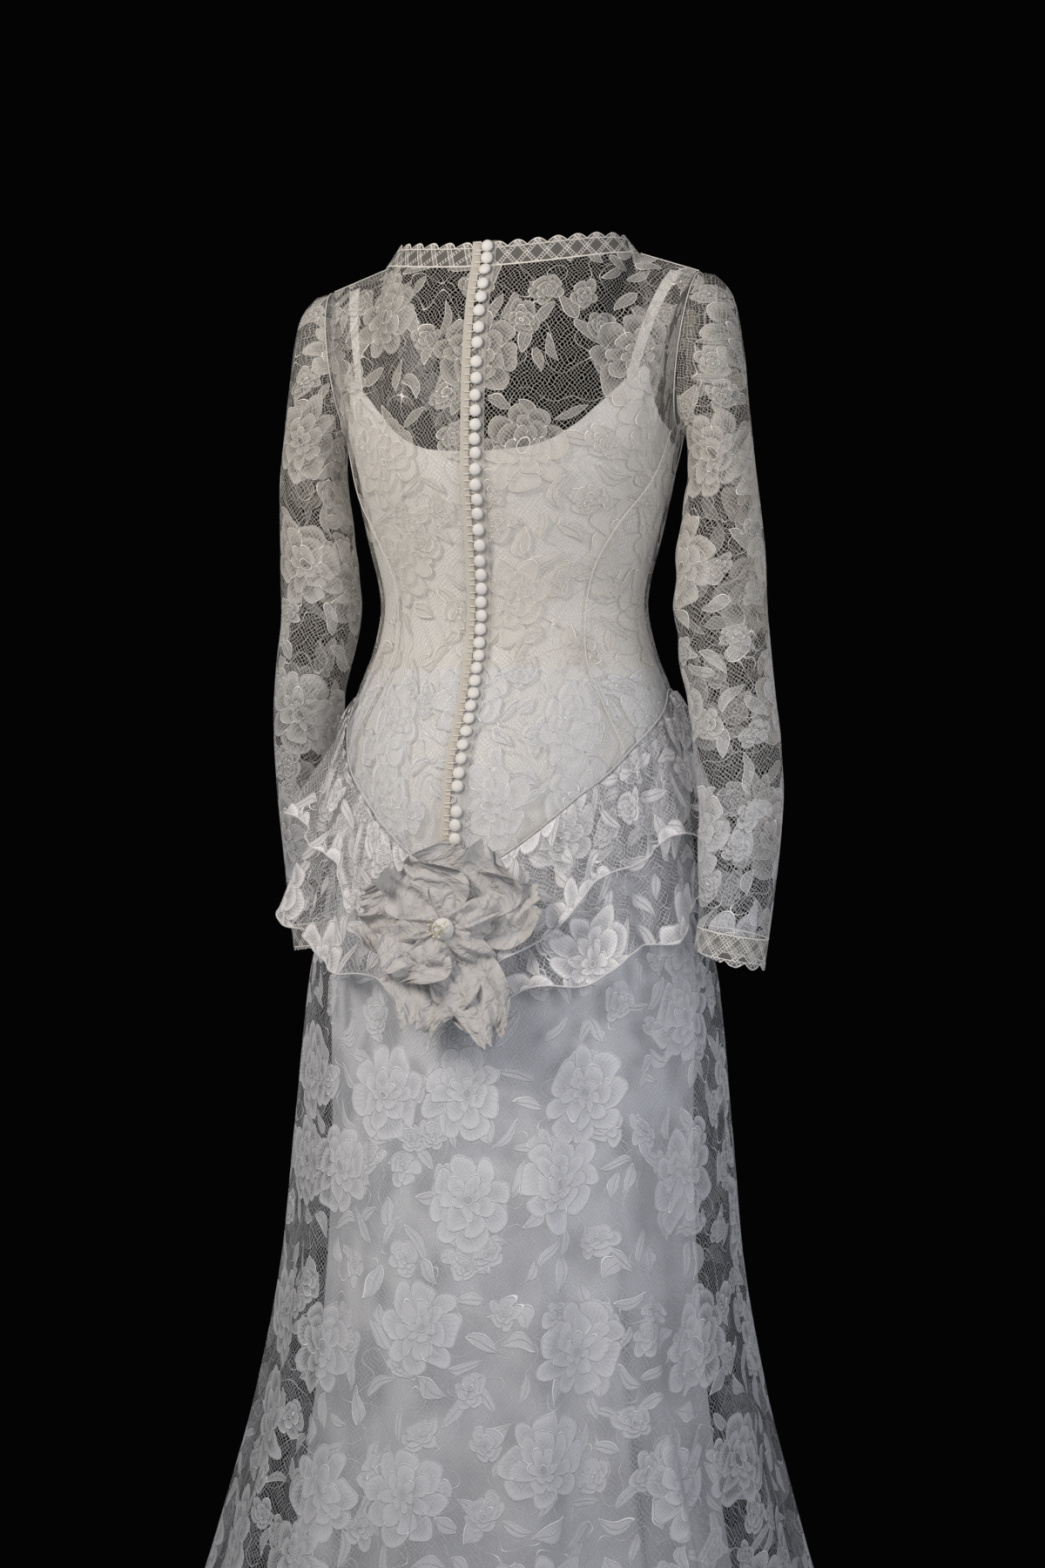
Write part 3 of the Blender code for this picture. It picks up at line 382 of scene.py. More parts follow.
class Nodes:
    # short way to chain maths nodes inside one tree
    def __init__(self, tree):
        self.tree = tree

    def put(self, kind, **values):
        node = self.tree.nodes.new(kind)
        for key, value in values.items():
            setattr(node, key, value)
        return node

    def link(self, out, socket):
        self.tree.links.new(out, socket)

    def plug(self, socket, value):
        if isinstance(value, (int, float)):
            socket.default_value = value
        else:
            self.link(value, socket)

    def math(self, op, a, b=None, c=None, clamp=False):
        node = self.put("ShaderNodeMath", operation=op, use_clamp=clamp)
        for k, value in enumerate((a, b, c)):
            if value is not None:
                self.plug(node.inputs[k], value)
        return node.outputs[0]

    def plus(self, a, b):
        return self.math("ADD", a, b)

    def minus(self, a, b):
        return self.math("SUBTRACT", a, b)

    def times(self, a, b):
        return self.math("MULTIPLY", a, b)

    def vector(self, op, a, b=None, scale=None):
        node = self.put("ShaderNodeVectorMath", operation=op)
        self.link(a, node.inputs[0])
        if b is not None:
            if isinstance(b, tuple):
                node.inputs[1].default_value = b
            else:
                self.link(b, node.inputs[1])
        if scale is not None:
            self.plug(node.inputs["Scale"], scale)
        return node

    def noise(self, place, scale, detail=2.0, distortion=0.0):
        node = self.put("ShaderNodeTexNoise")
        node.inputs["Scale"].default_value = scale
        node.inputs["Detail"].default_value = detail
        node.inputs["Distortion"].default_value = distortion
        self.link(place, node.inputs["Vector"])
        return node

    def split(self, vector):
        node = self.put("ShaderNodeSeparateXYZ")
        self.link(vector, node.inputs[0])
        return node.outputs

    def below(self, value, edge, soft=threadFade):
        # 1 where value is under edge, fading to 0 over soft
        return self.math("MULTIPLY_ADD", self.minus(edge, value), 1.0 / soft, 0.5, clamp=True)

    def line(self, value, half, soft=threadFade):
        return self.below(self.math("ABSOLUTE", value), half, soft)

    def top(self, *values):
        out = values[0]
        for value in values[1:]:
            out = self.math("MAXIMUM", out, value)
        return out


def newGroup(name, inputs, outputs):
    tree = bpy.data.node_groups.new(name, "ShaderNodeTree")
    for label, kind, value in inputs:
        socket = tree.interface.new_socket(label, in_out="INPUT", socket_type=kind)
        if value is not None:
            socket.default_value = value
    for label, kind in outputs:
        tree.interface.new_socket(label, in_out="OUTPUT", socket_type=kind)
    n = Nodes(tree)
    return n, n.put("NodeGroupInput"), n.put("NodeGroupOutput")


def flowerShape(n, local, spin, radius, petals, lineHalf):
    # layered petals with corded outlines around a point; radii are in metres
    x, y, _ = n.split(local)
    r = n.vector("LENGTH", local).outputs["Value"]
    turn = n.plus(n.math("ARCTAN2", y, x), spin)
    cords = []
    dense = []
    fills = []
    rings = ((1.0, petals, 0.0, 0.30), (0.66, petals - 1, 0.9, 0.24), (0.36, petals - 2, 0.3, 0.14))
    for share, count, shift, deep in rings:
        wave = n.math("ABSOLUTE", n.math("COSINE", n.math("MULTIPLY_ADD", turn, count / 2, shift)))
        lobe = n.math("POWER", wave, 0.5)
        edge = n.times(n.math("MULTIPLY_ADD", lobe, deep, share - deep), radius)
        inside = n.below(r, edge, 0.0006)
        fills.append(inside)
        cords.append(n.line(n.minus(r, edge), lineHalf))
        part = n.line(n.times(wave, n.times(r, 2.0 / count)), lineHalf)
        outer = n.times(inside, n.math("GREATER_THAN", r, radius * (share - deep) * 0.80))
        cords.append(n.times(part, outer))
        # the weave is dense just inside each outline and thins towards the middle
        near = n.below(n.minus(edge, r), radius * 0.17, radius * 0.22)
        dense.append(n.times(near, inside))
    heart = n.line(n.minus(r, radius * 0.12), lineHalf)
    hatch = n.math("MULTIPLY_ADD", n.math("SINE", n.times(turn, petals * 9.0)), 0.5, 0.5)
    loose = n.math("MULTIPLY_ADD", hatch, 0.16, 0.20)
    weave = n.times(fills[0], n.math("MULTIPLY_ADD", n.top(*dense), 0.42, loose))
    return fills[0], n.top(heart, *cords), weave


# sizes of the lace pattern: the net, its threads, the flowers and the leaves
netStep = 0.0050
threadHalf = 0.00036
bigFlower = 0.043
smallFlower = 0.0165
leafHalfLength = 0.0155
leafHalfWidth = 0.0052


def laceGroup():
    n, gin, gout = newGroup("floralLace", [
        ("Vector", "NodeSocketVector", None), ("Weave", "NodeSocketFloat", 1.0),
    ], [
        ("Alpha", "NodeSocketFloat"), ("Cord", "NodeSocketFloat"), ("Petal", "NodeSocketFloat"),
        ("Height", "NodeSocketFloat"),
    ])
    uv = gin.outputs["Vector"]
    wobble = n.noise(uv, 30.0, 0.0)
    wobble.noise_dimensions = "2D"
    centred = n.vector("SUBTRACT", wobble.outputs["Color"], (0.5, 0.5, 0.5)).outputs[0]
    shift = n.vector("SCALE", centred, scale=0.016)
    place = n.vector("ADD", uv, shift.outputs[0]).outputs[0]

    def cells(scale, randomness, shiftBy):
        node = n.put("ShaderNodeTexVoronoi", voronoi_dimensions="2D", feature="F1")
        node.inputs["Scale"].default_value = scale
        node.inputs["Randomness"].default_value = randomness
        moved = n.vector("ADD", place, shiftBy).outputs[0]
        n.link(moved, node.inputs["Vector"])
        split = n.put("ShaderNodeSeparateColor")
        n.link(node.outputs["Color"], split.inputs[0])
        return n.vector("SUBTRACT", moved, node.outputs["Position"]).outputs[0], split

    def leaves():
        at, dice = cells(31.0, 0.9, (0.077, 0.311, 0.0))
        spin = n.put("ShaderNodeVectorRotate", rotation_type="Z_AXIS")
        n.link(at, spin.inputs["Vector"])
        n.plug(spin.inputs["Angle"], n.times(dice.outputs[0], 6.28))
        x, y, _ = n.split(spin.outputs[0])
        # bent a little along its length
        bent = n.math("MULTIPLY_ADD", n.times(x, x), 12.0, y)
        along = n.math("DIVIDE", x, leafHalfLength)
        taper = n.minus(1.0, n.times(along, along))
        width = n.times(taper, leafHalfWidth)
        side = n.math("ABSOLUTE", bent)
        shown = n.math("GREATER_THAN", dice.outputs[1], 0.15)
        keep = n.times(n.math("GREATER_THAN", width, -0.0004), shown)
        fill = n.times(n.below(side, width, 0.0006), keep)
        edge = n.line(n.minus(side, width), 0.0005)
        mid = n.times(fill, n.line(bent, 0.0003))
        return fill, n.times(n.math("MAXIMUM", edge, mid), keep)

    bigAt, bigDice = cells(8.2, 0.55, (0.013, 0.021, 0.0))
    bigSpin = n.times(bigDice.outputs[0], 6.28)
    bigFill, bigCord, bigWeave = flowerShape(n, bigAt, bigSpin, bigFlower, 8, 0.00052)
    smallAt, smallDice = cells(19.0, 0.8, (0.171, 0.093, 0.0))
    keep = n.math("GREATER_THAN", smallDice.outputs[2], 0.30)
    smallSpin = n.times(smallDice.outputs[1], 6.28)
    smallFill, smallCord, smallWeave = flowerShape(n, smallAt, smallSpin, smallFlower, 5, 0.00046)
    leafFill, leafCord = leaves()

    # stems follow level lines of the soft noise
    stem = n.line(n.minus(wobble.outputs[0], 0.52), 0.0065, 0.008)

    # net of uneven diamonds: two sets of slanted threads, bent by a fine noise
    bend = n.noise(uv, 95.0, 0.0)
    bend.noise_dimensions = "2D"
    loose = n.vector("SCALE", bend.outputs["Color"], scale=0.9).outputs[0]
    netAt = n.vector("ADD", n.vector("SCALE", uv, scale=1 / netStep).outputs[0], loose).outputs[0]
    netX, netY, _ = n.split(netAt)
    threads = []
    for sign in (1.0, -1.0):
        slant = n.math("MULTIPLY_ADD", netX, sign * 1.15, netY)
        off = n.minus(n.math("FRACT", slant), 0.5)
        threads.append(n.line(off, threadHalf / netStep, 0.07))
    thread = n.top(*threads)

    noBig = n.minus(1.0, bigFill)
    smallFill = n.times(n.times(smallFill, keep), noBig)
    clear = n.times(noBig, n.minus(1.0, smallFill))
    leafFill = n.times(leafFill, clear)
    bare = n.times(clear, n.minus(1.0, leafFill))
    smallCord = n.times(n.times(smallCord, keep), noBig)
    cord = n.top(bigCord, smallCord, n.times(leafCord, clear), n.times(stem, bare))
    weave = n.top(n.times(bigWeave, bigFill), n.times(smallWeave, smallFill), n.times(leafFill, 0.48))
    weave = n.times(weave, gin.outputs["Weave"])
    alpha = n.top(weave, cord, n.times(thread, 0.80))
    petal = n.top(bigFill, smallFill, leafFill)
    ground = n.math("MULTIPLY_ADD", weave, 0.7, n.times(thread, 0.15))
    height = n.plus(cord, ground)
    for label, value in (("Alpha", alpha), ("Cord", cord), ("Petal", petal), ("Height", height)):
        n.plug(gout.inputs[label], value)
    return n.tree


def edgingGroup():
    # lattice band: crossed ladders of small holes between two cord edges, with a scalloped free edge
    n, gin, gout = newGroup("latticeEdging", [
        ("Vector", "NodeSocketVector", None), ("Width", "NodeSocketFloat", bandHeight),
    ], [("Alpha", "NodeSocketFloat"), ("Cord", "NodeSocketFloat"), ("Height", "NodeSocketFloat")])
    u, v, _ = n.split(gin.outputs["Vector"])
    period = 0.0190
    slope = 0.9
    railAt = 0.0023
    rungStep = 0.0034
    scallopDepth = 0.0052

    def ladder(sign):
        slant = n.plus(u, n.times(v, sign * slope))
        share = n.math("FRACT", n.math("DIVIDE", slant, period))
        at = n.times(n.minus(share, 0.5), period)
        rails = n.line(n.minus(n.math("ABSOLUTE", at), railAt), 0.00055)
        across = n.minus(v, n.times(u, sign * slope))
        rung = n.math("FRACT", n.math("DIVIDE", across, rungStep))
        between = n.below(n.math("ABSOLUTE", at), railAt, 0.0004)
        rungs = n.times(n.line(n.minus(rung, 0.5), 0.17, 0.12), between)
        return n.math("MAXIMUM", rails, rungs)
    lattice = n.math("MAXIMUM", ladder(1.0), ladder(-1.0))
    arch = n.math("SINE", n.times(u, math.pi / period))
    scallop = n.times(n.math("ABSOLUTE", arch), scallopDepth)
    free = n.plus(n.minus(gin.outputs["Width"], 0.0060), scallop)
    inside = n.below(v, free)
    rim = n.line(n.minus(v, n.minus(free, 0.0006)), 0.0009, 0.0006)
    foot = n.below(v, 0.0016, 0.0006)
    inner = n.line(n.minus(v, n.minus(gin.outputs["Width"], 0.0070)), 0.0006)
    cord = n.times(n.top(lattice, rim, foot, inner), inside)
    alpha = n.times(n.math("MAXIMUM", cord, 0.18), inside)
    n.plug(gout.inputs["Alpha"], alpha)
    n.plug(gout.inputs["Cord"], cord)
    n.plug(gout.inputs["Height"], cord)
    return n.tree


def cloth(name, colour, roughness, sheen=0.0, alpha=1.0):
    material = bpy.data.materials.new(name)
    material.use_nodes = True
    shader = material.node_tree.nodes["Principled BSDF"]
    shader.inputs["Base Color"].default_value = (*colour, 1.0)
    shader.inputs["Roughness"].default_value = roughness
    shader.inputs["Sheen Weight"].default_value = sheen
    shader.inputs["Specular IOR Level"].default_value = 0.25
    shader.inputs["Alpha"].default_value = alpha
    return material


def nodesOf(material):
    return Nodes(material.node_tree), material.node_tree.nodes["Principled BSDF"]


def uvNode(n):
    return n.put("ShaderNodeUVMap", uv_map="UVMap").outputs[0]


def bumpTo(n, shader, height, distance, strength=1.0):
    bump = n.put("ShaderNodeBump")
    bump.inputs["Strength"].default_value = strength
    bump.inputs["Distance"].default_value = distance
    n.link(height, bump.inputs["Height"])
    n.link(bump.outputs[0], shader.inputs["Normal"])


def mixColour(n, factor, a, b):
    mix = n.put("ShaderNodeMix", data_type="RGBA")
    for label, value in (("A", a), ("B", b)):
        if isinstance(value, tuple):
            mix.inputs[label].default_value = (*value, 1.0)
        else:
            n.link(value, mix.inputs[label])
    n.plug(mix.inputs["Factor"], factor)
    return mix.outputs["Result"]


def paintedLightMask(n, level, soft):
    # 0 above the level, 1 below it; it sets where painted cool light and shade begin
    at = n.put("ShaderNodeTexCoord")
    return n.below(n.split(at.outputs["Object"])[2], level, soft)


def laceMaterial(name, tones, paintedLowTones, level, soft, weave):
    # tones: net, petal and cord colours above the level; the second set, below it, is painted cool light and
    # shade
    material = cloth(name, tones[1], 0.82, 0.15)
    n, shader = nodesOf(material)
    group = n.put("ShaderNodeGroup", node_tree=floralLace)
    group.inputs["Weave"].default_value = weave
    n.link(uvNode(n), group.inputs["Vector"])
    # painted light: below the level the colours turn to the painted cool and shaded set
    low = paintedLightMask(n, level, soft)
    net, petal, cord = [mixColour(n, low, a, b) for a, b in zip(tones, paintedLowTones)]
    ground = mixColour(n, group.outputs["Petal"], net, petal)
    n.link(mixColour(n, group.outputs["Cord"], ground, cord), shader.inputs["Base Color"])
    n.link(group.outputs["Alpha"], shader.inputs["Alpha"])
    bumpTo(n, shader, group.outputs["Height"], 0.0012)
    return material


def edgingMaterial(name, colour, width):
    material = cloth(name, colour, 0.8, 0.15)
    n, shader = nodesOf(material)
    group = n.put("ShaderNodeGroup", node_tree=latticeEdging)
    group.inputs["Width"].default_value = width
    n.link(uvNode(n), group.inputs["Vector"])
    n.link(group.outputs["Alpha"], shader.inputs["Alpha"])
    bumpTo(n, shader, group.outputs["Height"], 0.0010)
    return material


floralLace = laceGroup()
latticeEdging = edgingGroup()
warmTones = ((0.50, 0.46, 0.40), (0.66, 0.615, 0.545), (0.88, 0.83, 0.75))
# painted cool light: bluish copies of the lace tones, for low on the dress where the window light falls cool
paintedCoolLightTones = ((0.50, 0.495, 0.49), (0.70, 0.695, 0.705), (0.90, 0.895, 0.895))
# painted shade: darker copies of the cool tones, for the skirt lace towards the hem
paintedHemShadeTones = ((0.34, 0.34, 0.355), (0.48, 0.48, 0.50), (0.64, 0.64, 0.66))
# painted light: a lighter copy of the lace tones for the peplum, offsetting the shade between its layers
paintedLitPeplumTones = ((0.62, 0.60, 0.59), (0.84, 0.81, 0.80), (0.95, 0.92, 0.90))
# the bodice and sleeve lace are painted cooler below their levels, as painted cool light
ivoryLace = laceMaterial("ivoryLace", warmTones, paintedCoolLightTones, -0.374, 0.006, 0.68)
sleeveLace = laceMaterial("sleeveLace", warmTones, paintedCoolLightTones, -0.42, 0.35, 0.85)
# skirt lace: painted cool light above its level and painted shade below it
skirtLacePaintedCoolShade = laceMaterial("skirtLacePaintedCoolShade", paintedCoolLightTones, paintedHemShadeTones, -1.05, 0.5, 1.0)
peplumLacePaintedLit = laceMaterial("peplumLacePaintedLit", paintedLitPeplumTones, paintedLitPeplumTones, -0.5, 0.2, 1.25)
neckEdging = edgingMaterial("neckEdging", (0.70, 0.65, 0.58), bandHeight)
cuffEdging = edgingMaterial("cuffEdging", (0.70, 0.67, 0.62), 0.030)
trimCord = cloth("trimCord", (0.66, 0.62, 0.56), 0.8, 0.2)
hemRoll = cloth("hemRoll", (0.62, 0.60, 0.585), 0.8, 0.2)
seamCord = cloth("seamCord", (0.62, 0.585, 0.53), 0.85, 0.2)
placketCloth = cloth("placketCloth", (0.52, 0.475, 0.40), 0.85, 0.2, 0.90)
standCloth = cloth("standCloth", (0.56, 0.52, 0.46), 0.85, 0.2, 0.40)
stamenCloth = cloth("stamenCloth", (0.66, 0.60, 0.44), 0.6)

# painted shade: the skirt's satin is painted darker and a little cooler towards the hem
skirtSatin = (0.70, 0.70, 0.72)
underCloth = cloth("underCloth", skirtSatin, 0.5, 0.3)
n, shader = nodesOf(underCloth)
paintedHemShade = mixColour(n, paintedLightMask(n, -1.10, 0.5), skirtSatin, (0.46, 0.46, 0.48))
n.link(paintedHemShade, shader.inputs["Base Color"])

# the slip's inner face is painted almost black, as painted shade inside the dress
satinTone = (0.72, 0.69, 0.645)
slipCloth = cloth("slipCloth", satinTone, 0.5, 0.3)
n, shader = nodesOf(slipCloth)
face = n.put("ShaderNodeNewGeometry")
paintedInnerShade = mixColour(n, face.outputs["Backfacing"], satinTone, (0.060, 0.056, 0.053))
n.link(paintedInnerShade, shader.inputs["Base Color"])
bumpTo(n, shader, n.noise(uvNode(n), 900.0).outputs[0], 0.0002, 0.4)

buttonCloth = cloth("buttonCloth", (0.68, 0.645, 0.60), 0.5, 0.3)
n, shader = nodesOf(buttonCloth)
buttonAt = n.put("ShaderNodeTexCoord").outputs["Object"]
bumpTo(n, shader, n.noise(buttonAt, 1400.0).outputs[0], 0.0002, 0.5)

organza = cloth("organza", (0.60, 0.567, 0.540), 0.8, 0.3, 0.80)
n, shader = nodesOf(organza)
grain = n.noise(uvNode(n), 260.0, 4.0).outputs[0]
crumple = n.noise(uvNode(n), 75.0, 3.0, 0.8).outputs[0]
bumpTo(n, shader, n.math("MULTIPLY_ADD", grain, 0.12, crumple), 0.0075)
print("materials made")

# lace bodice
bodiceRows = 90
yokeRows = 60
underarmRows = 14
underarmTurn = 166.0
# half the gap between two panels, in degrees
seamGap = 0.07


def panelAngle(z, share, back, centre):
    middle = 0.0 if back else 180.0
    gap = seamGap if back else -seamGap
    seam = seamAngle(z, back)
    if centre:
        return middle + (seam - gap - middle) * share
    return seam + gap + (90.0 - seam - 2 * gap) * share


def panelPoint(share, along, side, back, centre, lift=laceLift):
    # along runs from 0 at the basque seam to 1 at the foot of the yoke and 2 at the panel's top
    if along <= 1.0:
        # level and angle of the seam settle on each other
        bottom = -0.5
        for _ in range(8):
            bottom = basqueLevel(panelAngle(bottom, share, back, centre))
        z = bottom + basqueGap + (splitZ - bottom) * along
        return bodyPoint(side * panelAngle(z, share, back, centre), z, lift)
    if centre:
        return yokeSheet(share, along - 1.0, side, back, lift)
    start = bodyPoint(side * panelAngle(splitZ, share, back, False), splitZ, lift)
    top = armhole(underarmTurn + 13.2 * share, side, back)
    top.x += side * lift
    return start.lerp(top, along - 1.0)


def bodiceSheet(name, node, columns, upperRows, uvShift, middle, locate):
    # locate gives the share, side, back and centre at a place across the panel
    rows = bodiceRows + upperRows
    seamRow = bodiceRows / rows

    def place(u, v):
        along = v / seamRow if v <= seamRow else 1.0 + (v - seamRow) / (1 - seamRow)
        share, side, back, centre = locate(u)
        return panelPoint(share, min(along, 2.0), side, back, centre)
    panel = gridSheet(name, columns, rows, place, ivoryLace, uvShift, middle, seamRow)
    finishPiece(panel, "lace", node)


# name, node, side, back, centre, shift of the pattern
bodicePanels = [
    ("backCentreRightLace", "back_centre_right", 1, True, True, (0.0, 0.0)),
    ("backCentreLeftLace", "back_centre_left", -1, True, True, (0.0, 0.0)),
    ("backSideRightLace", "back_side_right", 1, True, False, (0.71, 0.13)),
    ("backSideLeftLace", "back_side_left", -1, True, False, (0.93, 0.37)),
    ("frontSideRightLace", "front_side_right", 1, False, False, (1.2, 0.11)),
    ("frontSideLeftLace", "front_side_left", -1, False, False, (1.5, 0.55)),
]
for name, node, side, back, centre, uvShift in bodicePanels:
    def sideLocate(u, side=side, back=back, centre=centre):
        # columns always run the way the angle grows
        return u if (side > 0) == back else 1 - u, side, back, centre
    if centre:
        bodiceSheet(name, node, 64, yokeRows, uvShift, 0.0 if side > 0 else 1.0, sideLocate)
    else:
        bodiceSheet(name, node, 36, underarmRows, uvShift, 0.5, sideLocate)


def frontLocate(u):
    # angles grow from the wearer's right to the left across the front
    t = 2 * u - 1
    return abs(t), 1 if t <= 0 else -1, False, True


bodiceSheet("frontCentreLace", "front_centre", 128, yokeRows, (0.4, 0.2), 0.5, frontLocate)
print("bodice made")

# sleeves and cuffs: outer x, y and z, inner x, y and z, half depth
sleeveRight = [
    (0.2030, 0.000, -0.0040, 0.1735, 0.000, -0.1520, 0.0375),
    (0.2190, 0.000, -0.0240, 0.1770, -0.001, -0.1580, 0.0385),
    (0.2290, -0.002, -0.0700, 0.1785, -0.001, -0.1700, 0.0370),
    (0.2350, -0.004, -0.1250, 0.1790, -0.003, -0.1880, 0.0355),
    (0.2420, -0.007, -0.1850, 0.1770, -0.008, -0.2200, 0.0380),
    (0.2530, -0.015, -0.2600, 0.1710, -0.015, -0.2720, 0.0425),
    (0.2590, -0.024, -0.3300, 0.1730, -0.024, -0.3320, 0.0430),
    (0.2690, -0.036, -0.4000, 0.1870, -0.037, -0.4000, 0.0420),
    (0.2790, -0.046, -0.4600, 0.1990, -0.047, -0.4600, 0.0400),
    (0.2800, -0.056, -0.5300, 0.2055, -0.057, -0.5300, 0.0370),
    (0.2720, -0.068, -0.6240, 0.2080, -0.069, -0.6120, 0.0320),
]
sleeveLeft = [
    (-0.2030, 0.000, -0.0040, -0.1735, 0.000, -0.1520, 0.0375),
    (-0.2190, 0.000, -0.0240, -0.1770, 0.001, -0.1580, 0.0385),
    (-0.2290, 0.001, -0.0700, -0.1785, 0.001, -0.1700, 0.0375),
    (-0.2360, 0.003, -0.1250, -0.1780, 0.002, -0.1880, 0.0370),
    (-0.2430, 0.005, -0.1850, -0.1740, 0.004, -0.2200, 0.0400),
    (-0.2440, 0.008, -0.2600, -0.1670, 0.007, -0.2720, 0.0410),
    (-0.2480, 0.014, -0.3300, -0.1700, 0.013, -0.3320, 0.0385),
    (-0.2580, 0.022, -0.4000, -0.1880, 0.021, -0.4000, 0.0360),
    (-0.2620, 0.033, -0.4600, -0.1990, 0.031, -0.4600, 0.0330),
    (-0.2610, 0.045, -0.5300, -0.1990, 0.043, -0.5300, 0.0320),
    (-0.2570, 0.060, -0.6240, -0.1940, 0.060, -0.6180, 0.0310),
]
cuffRight = [
    (0.2720, -0.0682, -0.6245, 0.2080, -0.0692, -0.6125, 0.0320),
    (0.2700, -0.0700, -0.6400, 0.2070, -0.0710, -0.6230, 0.0320),
    (0.2690, -0.0720, -0.6560, 0.2060, -0.0730, -0.6330, 0.0320),
]
cuffLeft = [
    (-0.2570, 0.0602, -0.6245, -0.1940, 0.0602, -0.6185, 0.0310),
    (-0.2560, 0.0620, -0.6380, -0.1930, 0.0620, -0.6300, 0.0310),
    (-0.2550, 0.0640, -0.6510, -0.1920, 0.0640, -0.6420, 0.0310),
]
# row on the sleeve, turn, rows wide, degrees wide, depth, slant in rows a whole turn
sleeveCreases = [
    (4.6, 200.0, 0.35, 60.0, -0.0022, 1.44), (5.3, 170.0, 0.30, 70.0, -0.0026, -1.68),
    (6.1, 150.0, 0.28, 65.0, -0.0024, 1.92), (6.8, 210.0, 0.30, 70.0, -0.0028, -1.44),
    (7.5, 160.0, 0.32, 60.0, -0.0022, 1.68), (8.6, 190.0, 0.30, 80.0, -0.0018, -1.20),
    (9.6, 120.0, 0.35, 70.0, -0.0016, 1.44), (3.4, 140.0, 0.40, 60.0, -0.0018, 1.20),
    (2.3, 60.0, 0.40, 50.0, -0.0014, 0.96), (10.3, 230.0, 0.30, 60.0, -0.0014, -0.96),
    (5.9, 40.0, 0.35, 50.0, -0.0014, 1.20), (7.9, 320.0, 0.35, 50.0, -0.0012, 1.20),
]


def sleeveRow(table, at):
    # smooth curve through evenly counted rows
    k = min(int(at), len(table) - 2)
    t = at - k
    p0 = table[max(k - 1, 0)]
    p1 = table[k]
    p2 = table[k + 1]
    p3 = table[min(k + 2, len(table) - 1)]
    row = []
    for a, b, c, d in zip(p0, p1, p2, p3):
        curve = (2 * a - 5 * b + 4 * c - d) * t * t + (3 * b - a - 3 * c + d) * t ** 3
        row.append(0.5 * (2 * b + (c - a) * t + curve))
    return row


def loopPoint(row, turn, lift=0.0):
    outer = Vector(row[0:3])
    inner = Vector(row[3:6])
    half = (outer - inner) / 2
    c = math.cos(math.radians(turn))
    s = math.sin(math.radians(turn))
    out = (half.normalized() * c + Vector((0.0, -s, 0.0))) * lift
    return (outer + inner) / 2 + half * c + Vector((0.0, -row[6] * s, 0.0)) + out


def sleevePoint(table, side, turn, at):
    # at is -1 at the armhole and 0 at the first ring
    crease = 0.0
    for row, middle, rowsWide, degrees, depth, slant in sleeveCreases:
        d = at - row - turnGap(turn, middle) / 360.0 * slant
        w = turnGap(turn, middle) / degrees
        crease += depth * math.exp(-(d / rowsWide) ** 2 - w * w)
        crease -= 0.45 * depth * math.exp(-((d - 0.45) / rowsWide) ** 2 - w * w)
    if at >= 0:
        return loopPoint(sleeveRow(table, at), turn, laceLift + crease)
    back = turn <= 180.0
    t = turn if back else 360.0 - turn
    seam = armhole(t, side, back)
    low = clamp((t - 80.0) / 60.0)
    seam = seam + Vector((side * (0.0010 + 0.0031 * low), 0.0, 0.0))
    return seam.lerp(loopPoint(table[0], turn, laceLift), 1.0 + at)


arms = (("Right", 1, sleeveRight, cuffRight, "right"), ("Left", -1, sleeveLeft, cuffLeft, "left"))
for name, side, table, cuff, node in arms:
    def place(u, v, side=side, table=table):
        turn = 360.0 * u if side > 0 else 360.0 * (1 - u)
        return sleevePoint(table, side, turn % 360.0, -1.0 + v * len(table))
    tube = gridSheet("sleeve" + name + "Lace", 72, 190, place, sleeveLace, (0.3 * side, 0.07), 0.5, 0.5, True)
    finishPiece(tube, "lace", "sleeve_" + node)

    def cuffPlace(u, v, side=side, cuff=cuff):
        turn = 360.0 * u if side > 0 else 360.0 * (1 - u)
        return loopPoint(sleeveRow(cuff, v * 2), turn % 360.0, laceLift)
    band = gridSheet("cuff" + name + "Edging", 96, 8, cuffPlace, cuffEdging, (0.0, 0.0), 0.5, 0.0, True)
    finishPiece(band, "trim", "cuff_edging_" + node)
print("sleeves made")


# neck edging
def bandDirection(turn, side, back):
    share = neckShare * turn / 90.0
    ahead = yoke(min(share + 0.02, neckShare), 1.0, side, back)
    along = (ahead - yoke(max(share - 0.02, 0.0), 1.0, side, back)).normalized()
    atShoulder = Vector((side * -0.62, 0.0, 0.78))
    if back:
        up = Vector((0.0, 0.16, 0.98)).lerp(atShoulder, math.sin(math.radians(turn)))
    else:
        up = (yoke(share, 1.0, side, back) - yoke(share, 0.9, side, back)).normalized()
        close = clamp((turn - 72.0) / 18.0)
        up = up.lerp(atShoulder, close * close)
    up = up - along * up.dot(along) * clamp((88.0 - turn) / 12.0)
    return up.normalized()


def bandPiece(name, node, columns, path):
    def place(u, v):
        turn, side, back = path(u)
        seam = neckBack(turn, side) if back else neckFront(turn, side)
        out = Vector((seam.x * 0.6, seam.y, 0.0)).normalized() * laceLift
        return seam + out + bandDirection(turn, side, back) * (0.0006 + bandHeight * v)
    piece = gridSheet(name, columns, 6, place, neckEdging, (0.0, 0.0), 0.0)
    finishPiece(piece, "trim", node)


def backRightPath(u):
    return 0.2 + 89.5 * u, 1, True


def backLeftPath(u):
    return 89.7 - 89.5 * u, -1, True


def frontPath(u):
    return abs(2 * u - 1) * 89.7, 1 if u <= 0.5 else -1, False


bandPiece("neckBackRightEdging", "neck_edging_back_right", 70, backRightPath)
bandPiece("neckBackLeftEdging", "neck_edging_back_left", 70, backLeftPath)
bandPiece("neckFrontEdging", "neck_edging_front", 150, frontPath)
print("neck edging made")


